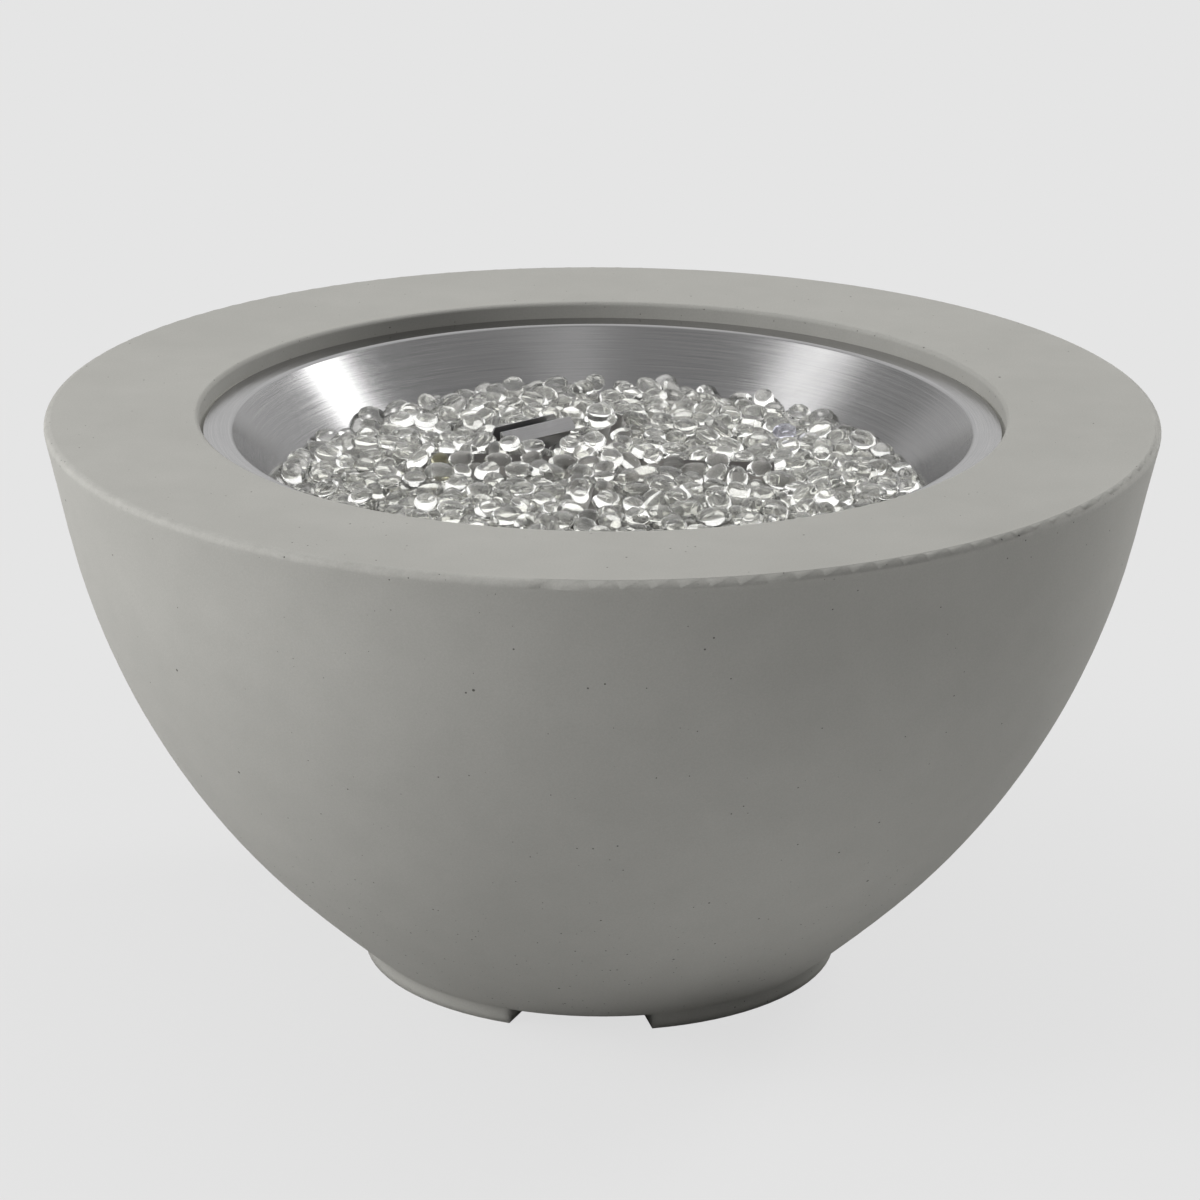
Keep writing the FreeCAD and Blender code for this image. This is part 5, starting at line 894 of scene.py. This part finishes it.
def make_thread(name, foot, radius, length, slot):
    """The raised helix of a male thread on an upright round end, fading in and out at its ends."""
    pitch = THREAD_PITCH
    wide, narrow, high, climb = pitch * 0.42, pitch * 0.08, pitch * 0.32, length - pitch
    sunk, crest = radius - ROOT_DEPTH, radius + high
    section = ((sunk, -wide), (crest, -narrow), (crest, narrow), (sunk, wide))
    foot = Vector(foot) + Vector((0, 0, pitch / 2))
    bm = coiled(section, foot, Vector((0, 0, 1)), climb, climb / pitch, sides=28)
    for vert in bm.verts:
        from_axis, up = (vert.co - foot).xy, vert.co.z - foot.z
        if from_axis.length > radius:
            faded = high * max(0.05, min(1.0, up * 2 / pitch, (climb - up) * 2 / pitch))
            vert.co.xy = foot.xy + from_axis.normalized() * (radius + faded)
    return new_piece(name, bm, slot)


# The axes of the valve and the igniter lean with the wall that they go through
VALVE_PLACE = Vector((0.027, 0.30678, 0.20526))
IGNITER_PLACE = Vector((-0.033, 0.30678, 0.20526))
CONTROLS_AHEAD = Vector((0.0, 0.899, -0.438)).normalized()
SPRING_WIRE = 0.0005


def make_spring(node, foot, radius, length, turns):
    """A compression spring in place of the CAD node."""
    section = [(radius + SPRING_WIRE * math.cos(angle), SPRING_WIRE * (1 + math.sin(angle)))
               for angle in (math.tau * i / 10 for i in range(10))]
    bm = coiled(section, foot, CONTROLS_AHEAD, length - 2 * SPRING_WIRE, turns, sides=24)
    piece = new_piece(node + "_coil", bm, "spring_steel")
    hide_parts(node)
    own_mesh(piece)


# The knob's mark points up the wall when the gas is off. Its paint lies in a groove of the grip.
UP_THE_WALL = Vector((1.0, 0.0, 0.0)).cross(CONTROLS_AHEAD)
KNOB_TOP = 0.0252
KNOB_RADIUS = 0.019
MARK_DEPTH = 0.0008
MARK_WIDTH = 0.0014
MARK_PLAY = 0.0002


def make_knob_mark():
    """White paint in the pointer groove of the knob's grip."""
    length, paint = KNOB_RADIUS * 0.35 - MARK_PLAY, MARK_DEPTH * 0.6
    middle = VALVE_PLACE + CONTROLS_AHEAD * (KNOB_TOP - MARK_DEPTH + paint / 2)
    middle += UP_THE_WALL * KNOB_RADIUS * 0.625
    turn = Matrix((UP_THE_WALL, CONTROLS_AHEAD.cross(UP_THE_WALL), CONTROLS_AHEAD)).transposed().to_4x4()
    size = Matrix.Diagonal((length, MARK_WIDTH, paint, 1.0))
    bm = bmesh.new()
    bmesh.ops.create_cube(bm, size=1.0, matrix=Matrix.Translation(middle) @ turn @ size)
    return new_piece("knob_mark", bm, "mark_paint", "knob")


# ---- stage and camera

# What polished metal and glass mirror in the room: where, how bright, and the angles it fills and fades by
MIRRORED = (
    ((-0.04, 0.70, 0.70), 0.80, 24.0, 44.0),  # far glow
    ((0.14, -0.29, 0.95), 0.62, 3.0, 10.0),  # ceiling panel
    ((0.64, 0.46, 0.62), 4.2, 3.5, 8.0),  # small lamp
    ((-0.64, 0.07, 0.77), 1.9, 7.0, 11.0),  # wide lamp
    ((-0.71, 0.46, 0.53), 0.36, 11.0, 17.0),  # dark opening
)


def studio_floor(settings):
    """An even floor to the camera, which throws light back up as a pale floor does."""
    material = bpy.data.materials.new("studio_floor")
    n = emptied(material)
    matt = n.add("ShaderNodeBsdfDiffuse", {"Color": color(218, 218, 218)})
    even = n.add("ShaderNodeEmission", {"Color": tuple(settings.backdrop)})
    seen = n.add("ShaderNodeLightPath").outputs["Is Camera Ray"]
    # Close to the bowl the camera sees some of the matt floor too, with the bowl's shadow on it
    under = n.ramp(n.vector("LENGTH", n.object_coordinates()), 0.25, 0.8, 0.88, 1.0, smooth=True)
    shader = n.add("ShaderNodeMixShader", {0: n.times(seen, under), 1: matt.outputs[0], 2: even.outputs[0]})
    n.add("ShaderNodeOutputMaterial", {"Surface": shader.outputs[0]})
    return material


def studio_world(settings):
    """Even to the camera, faint as a light, and a room with lamps to what mirrors it."""
    world = bpy.data.worlds.new("studio")
    n = emptied(world)
    ahead = n.add("ShaderNodeTexCoord").outputs["Generated"]
    up = n.axes(ahead)[2]
    room = n.ramp(up, 0.0, 0.75, settings.walls, settings.ceiling, smooth=True)
    for direction, brightness, filled, faded in MIRRORED:
        toward = n.vector("DOT_PRODUCT", ahead, Vector(direction).normalized())
        near = n.ramp(toward, math.cos(math.radians(faded)), math.cos(math.radians(filled)), smooth=True)
        room = n.times(near, n.math("SUBTRACT", brightness, room), room)
    rays = n.add("ShaderNodeLightPath").outputs
    mirrored = n.math("MAXIMUM", rays["Is Glossy Ray"], rays["Is Transmission Ray"])
    through = n.times(rays["Is Transmission Ray"], settings.through_glass,
                     n.math("MINIMUM", room, n.ramp(rays["Is Transmission Ray"], 0.0, 1.0, 10.0, 0.8)))
    overhead = n.times(n.math("MAXIMUM", up, 0.04), settings.fill)
    white = (1.0, 1.0, 1.0, 1.0)
    light = n.add("ShaderNodeBackground", {"Strength": overhead, "Color": white})
    mirror = n.add("ShaderNodeBackground", {"Strength": through, "Color": white})
    even = n.add("ShaderNodeBackground", {"Color": tuple(settings.backdrop)})
    unseen = n.add("ShaderNodeMixShader", {0: mirrored, 1: light.outputs[0], 2: mirror.outputs[0]})
    both = n.add("ShaderNodeMixShader", {0: rays["Is Camera Ray"], 1: unseen.outputs[0], 2: even.outputs[0]})
    n.add("ShaderNodeOutputWorld", {"Surface": both.outputs[0]})
    bpy.context.scene.world = world


# The point of the bowl that the lamps face
LIT = Vector((0, 0, 0.25))


def lamp(name, place, width, power):
    """A square lamp that faces the bowl. Metal mirrors the room's own lamps instead of it."""
    data = bpy.data.lights.new(name, "AREA")
    data.shape, data.size, data.energy = "SQUARE", width, power
    made = linked(name, data)
    made.location = place
    made.rotation_euler = (LIT - made.location).to_track_quat("-Z", "Y").to_euler()
    made.visible_glossy = made.visible_transmission = False


CAMERA_PLACE = Vector((0.2498, -3.1736, 1.3137))
CAMERA_LOOK = Vector((-0.0747, 0.9451, -0.3181))
CAMERA_ROLL = math.radians(0.331)
CAMERA_LENS = 149.3


def add_camera():
    """A long lens that looks slightly down on the bowl."""
    data = bpy.data.cameras.new("camera")
    data.lens, data.sensor_width, data.sensor_fit = CAMERA_LENS, 36.0, "HORIZONTAL"
    data.clip_start, data.clip_end = 0.05, 60.0
    camera = linked("camera", data)
    back = -CAMERA_LOOK.normalized()
    right = Vector((0, 0, 1)).cross(back).normalized()
    turn = Matrix((right, back.cross(right), back)).transposed()
    roll = Matrix.Rotation(CAMERA_ROLL, 4, "Z")
    camera.matrix_world = Matrix.Translation(CAMERA_PLACE) @ turn.to_4x4() @ roll
    bpy.context.scene.camera = camera


# ---- operators

CAST_NODES = ["concrete_bowl", "cast_in_inserts"]
FOLDED_NODES = ["igniter_guard", "clamp_plate"]


class FIREBOWL_OT_concrete(bpy.types.Operator):
    """Give the bowl its cast concrete"""
    bl_idname = "fire_bowl.concrete"
    bl_label = "Concrete Bowl"

    def execute(self, context):
        finish_nodes(CAST_NODES)
        return {"FINISHED"}


class FIREBOWL_OT_pan(bpy.types.Operator):
    """Give the pan and the burner their spun and folded stainless steel"""
    bl_idname = "fire_bowl.pan"
    bl_label = "Pan and Burner"

    def execute(self, context):
        finish_nodes(["burner_pan"])
        finish_nodes(["burner_cross"], "burner_steel")
        finish_nodes(FOLDED_NODES, "folded_stainless")
        return {"FINISHED"}


class FIREBOWL_OT_pebbles(bpy.types.Operator):
    """Fill the pan with clear glass pebbles"""
    bl_idname = "fire_bowl.pebbles"
    bl_label = "Fire Glass"

    def execute(self, context):
        pebbles = make_pebbles(context.scene.fire_bowl.glass)
        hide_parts("glass_gems")
        return {"FINISHED"}


class FIREBOWL_OT_fittings(bpy.types.Operator):
    """Finish every fitting, fastener and control"""
    bl_idname = "fire_bowl.fittings"
    bl_label = "Fittings and Controls"

    def execute(self, context):
        done = {*CAST_NODES, *FOLDED_NODES, "burner_pan", "burner_cross"}
        finish_nodes(sorted(set(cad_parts) - done))
        return {"FINISHED"}


class FIREBOWL_OT_leads(bpy.types.Operator):
    """Run the leads and the corrugated gas lines inside the bowl"""
    bl_idname = "fire_bowl.leads"
    bl_label = "Leads and Gas Lines"

    def execute(self, context):
        lines = context.scene.fire_bowl.lines
        make_lead("ignition_wire", IGNITION_ROUTE, radius=0.00175, look="rubber")
        make_lead("thermocouple_lead", THERMOCOUPLE_ROUTE, radius=0.00125, look="copper")
        make_gas_line("burner_line", BURNER_ROUTE, lines)
        make_gas_line("supply_line", SUPPLY_ROUTE, lines)
        return {"FINISHED"}


class FIREBOWL_OT_details(bpy.types.Operator):
    """Cut the threads that show, coil the springs and paint the knob's mark"""
    bl_idname = "fire_bowl.details"
    bl_label = "Threads, Springs and Mark"

    def execute(self, context):
        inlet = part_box("inlet_fitting")[0].z + 0.0015
        make_thread("inlet_thread", (0, 0, inlet), radius=0.00794, length=0.0095, slot="brass")
        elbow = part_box("burner_elbow")[1].z
        make_thread("nipple_thread", (0, 0, elbow), radius=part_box("burner_nipple")[1].x,
                    length=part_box("nipple_nut")[0].z - elbow, slot="steel_pipe")
        make_spring("stem_spring", VALVE_PLACE - CONTROLS_AHEAD * 0.007, radius=0.0054, length=0.0116,
                    turns=5)
        make_spring("button_spring", IGNITER_PLACE - CONTROLS_AHEAD * 0.0196, radius=0.0050, length=0.0205,
                    turns=6)
        make_knob_mark()
        return {"FINISHED"}


class FIREBOWL_OT_stage(bpy.types.Operator):
    """Set the object in a plain pale studio with a camera"""
    bl_idname = "fire_bowl.stage"
    bl_label = "Studio"

    def execute(self, context):
        settings = context.scene.fire_bowl.studio
        bm = bmesh.new()
        bmesh.ops.create_circle(bm, cap_ends=True, cap_tris=False, segments=64, radius=30.0)
        mesh = bpy.data.meshes.new("studio_floor")
        bm.to_mesh(mesh)
        bm.free()
        mesh.materials.append(studio_floor(settings))
        floor = linked("studio_floor", mesh)
        studio_world(settings)
        lamp("left_lamp", (-2.84, -1.06, 2.0), width=1.6, power=settings.left_power)
        lamp("right_lamp", (2.32, 1.95, 2.0), width=0.9, power=settings.right_power)
        add_camera()
        context.scene.view_settings.view_transform = "Standard"
        return {"FINISHED"}


class FIREBOWL_PT_panel(bpy.types.Panel):
    """Lists what the fire bowl is made of"""
    bl_idname = "FIREBOWL_PT_panel"
    bl_label = "Fire Bowl"
    bl_space_type = "VIEW_3D"
    bl_region_type = "UI"
    bl_category = "Fire Bowl"

    def draw(self, context):
        looks = context.scene.fire_bowl
        for title, settings in (("Concrete", looks.cast), ("Metalwork", looks.metalwork),
                                ("Glass", looks.glass), ("Gas Lines", looks.lines), ("Studio", looks.studio)):
            box = self.layout.box()
            box.label(text=title)
            for name in settings.__annotations__:
                box.prop(settings, name)
        for operator in OPERATORS:
            self.layout.operator(operator.bl_idname)


OPERATORS = (FIREBOWL_OT_stage, FIREBOWL_OT_concrete, FIREBOWL_OT_pan, FIREBOWL_OT_fittings,
             FIREBOWL_OT_leads, FIREBOWL_OT_details, FIREBOWL_OT_pebbles)
CLASSES = (CastSettings, MetalworkSettings, GlassSettings, LineSettings, StudioSettings, FireBowlSettings,
           *OPERATORS, FIREBOWL_PT_panel)


def register():
    for cls in CLASSES:
        bpy.utils.register_class(cls)
    bpy.types.Scene.fire_bowl = bpy.props.PointerProperty(type=FireBowlSettings)


def unregister():
    del bpy.types.Scene.fire_bowl
    for cls in reversed(CLASSES):
        bpy.utils.unregister_class(cls)


def main():
    register()
    for operator in OPERATORS:
        group, name = operator.bl_idname.split(".")
        getattr(getattr(bpy.ops, group), name)()


if __name__ == "__main__":
    main()
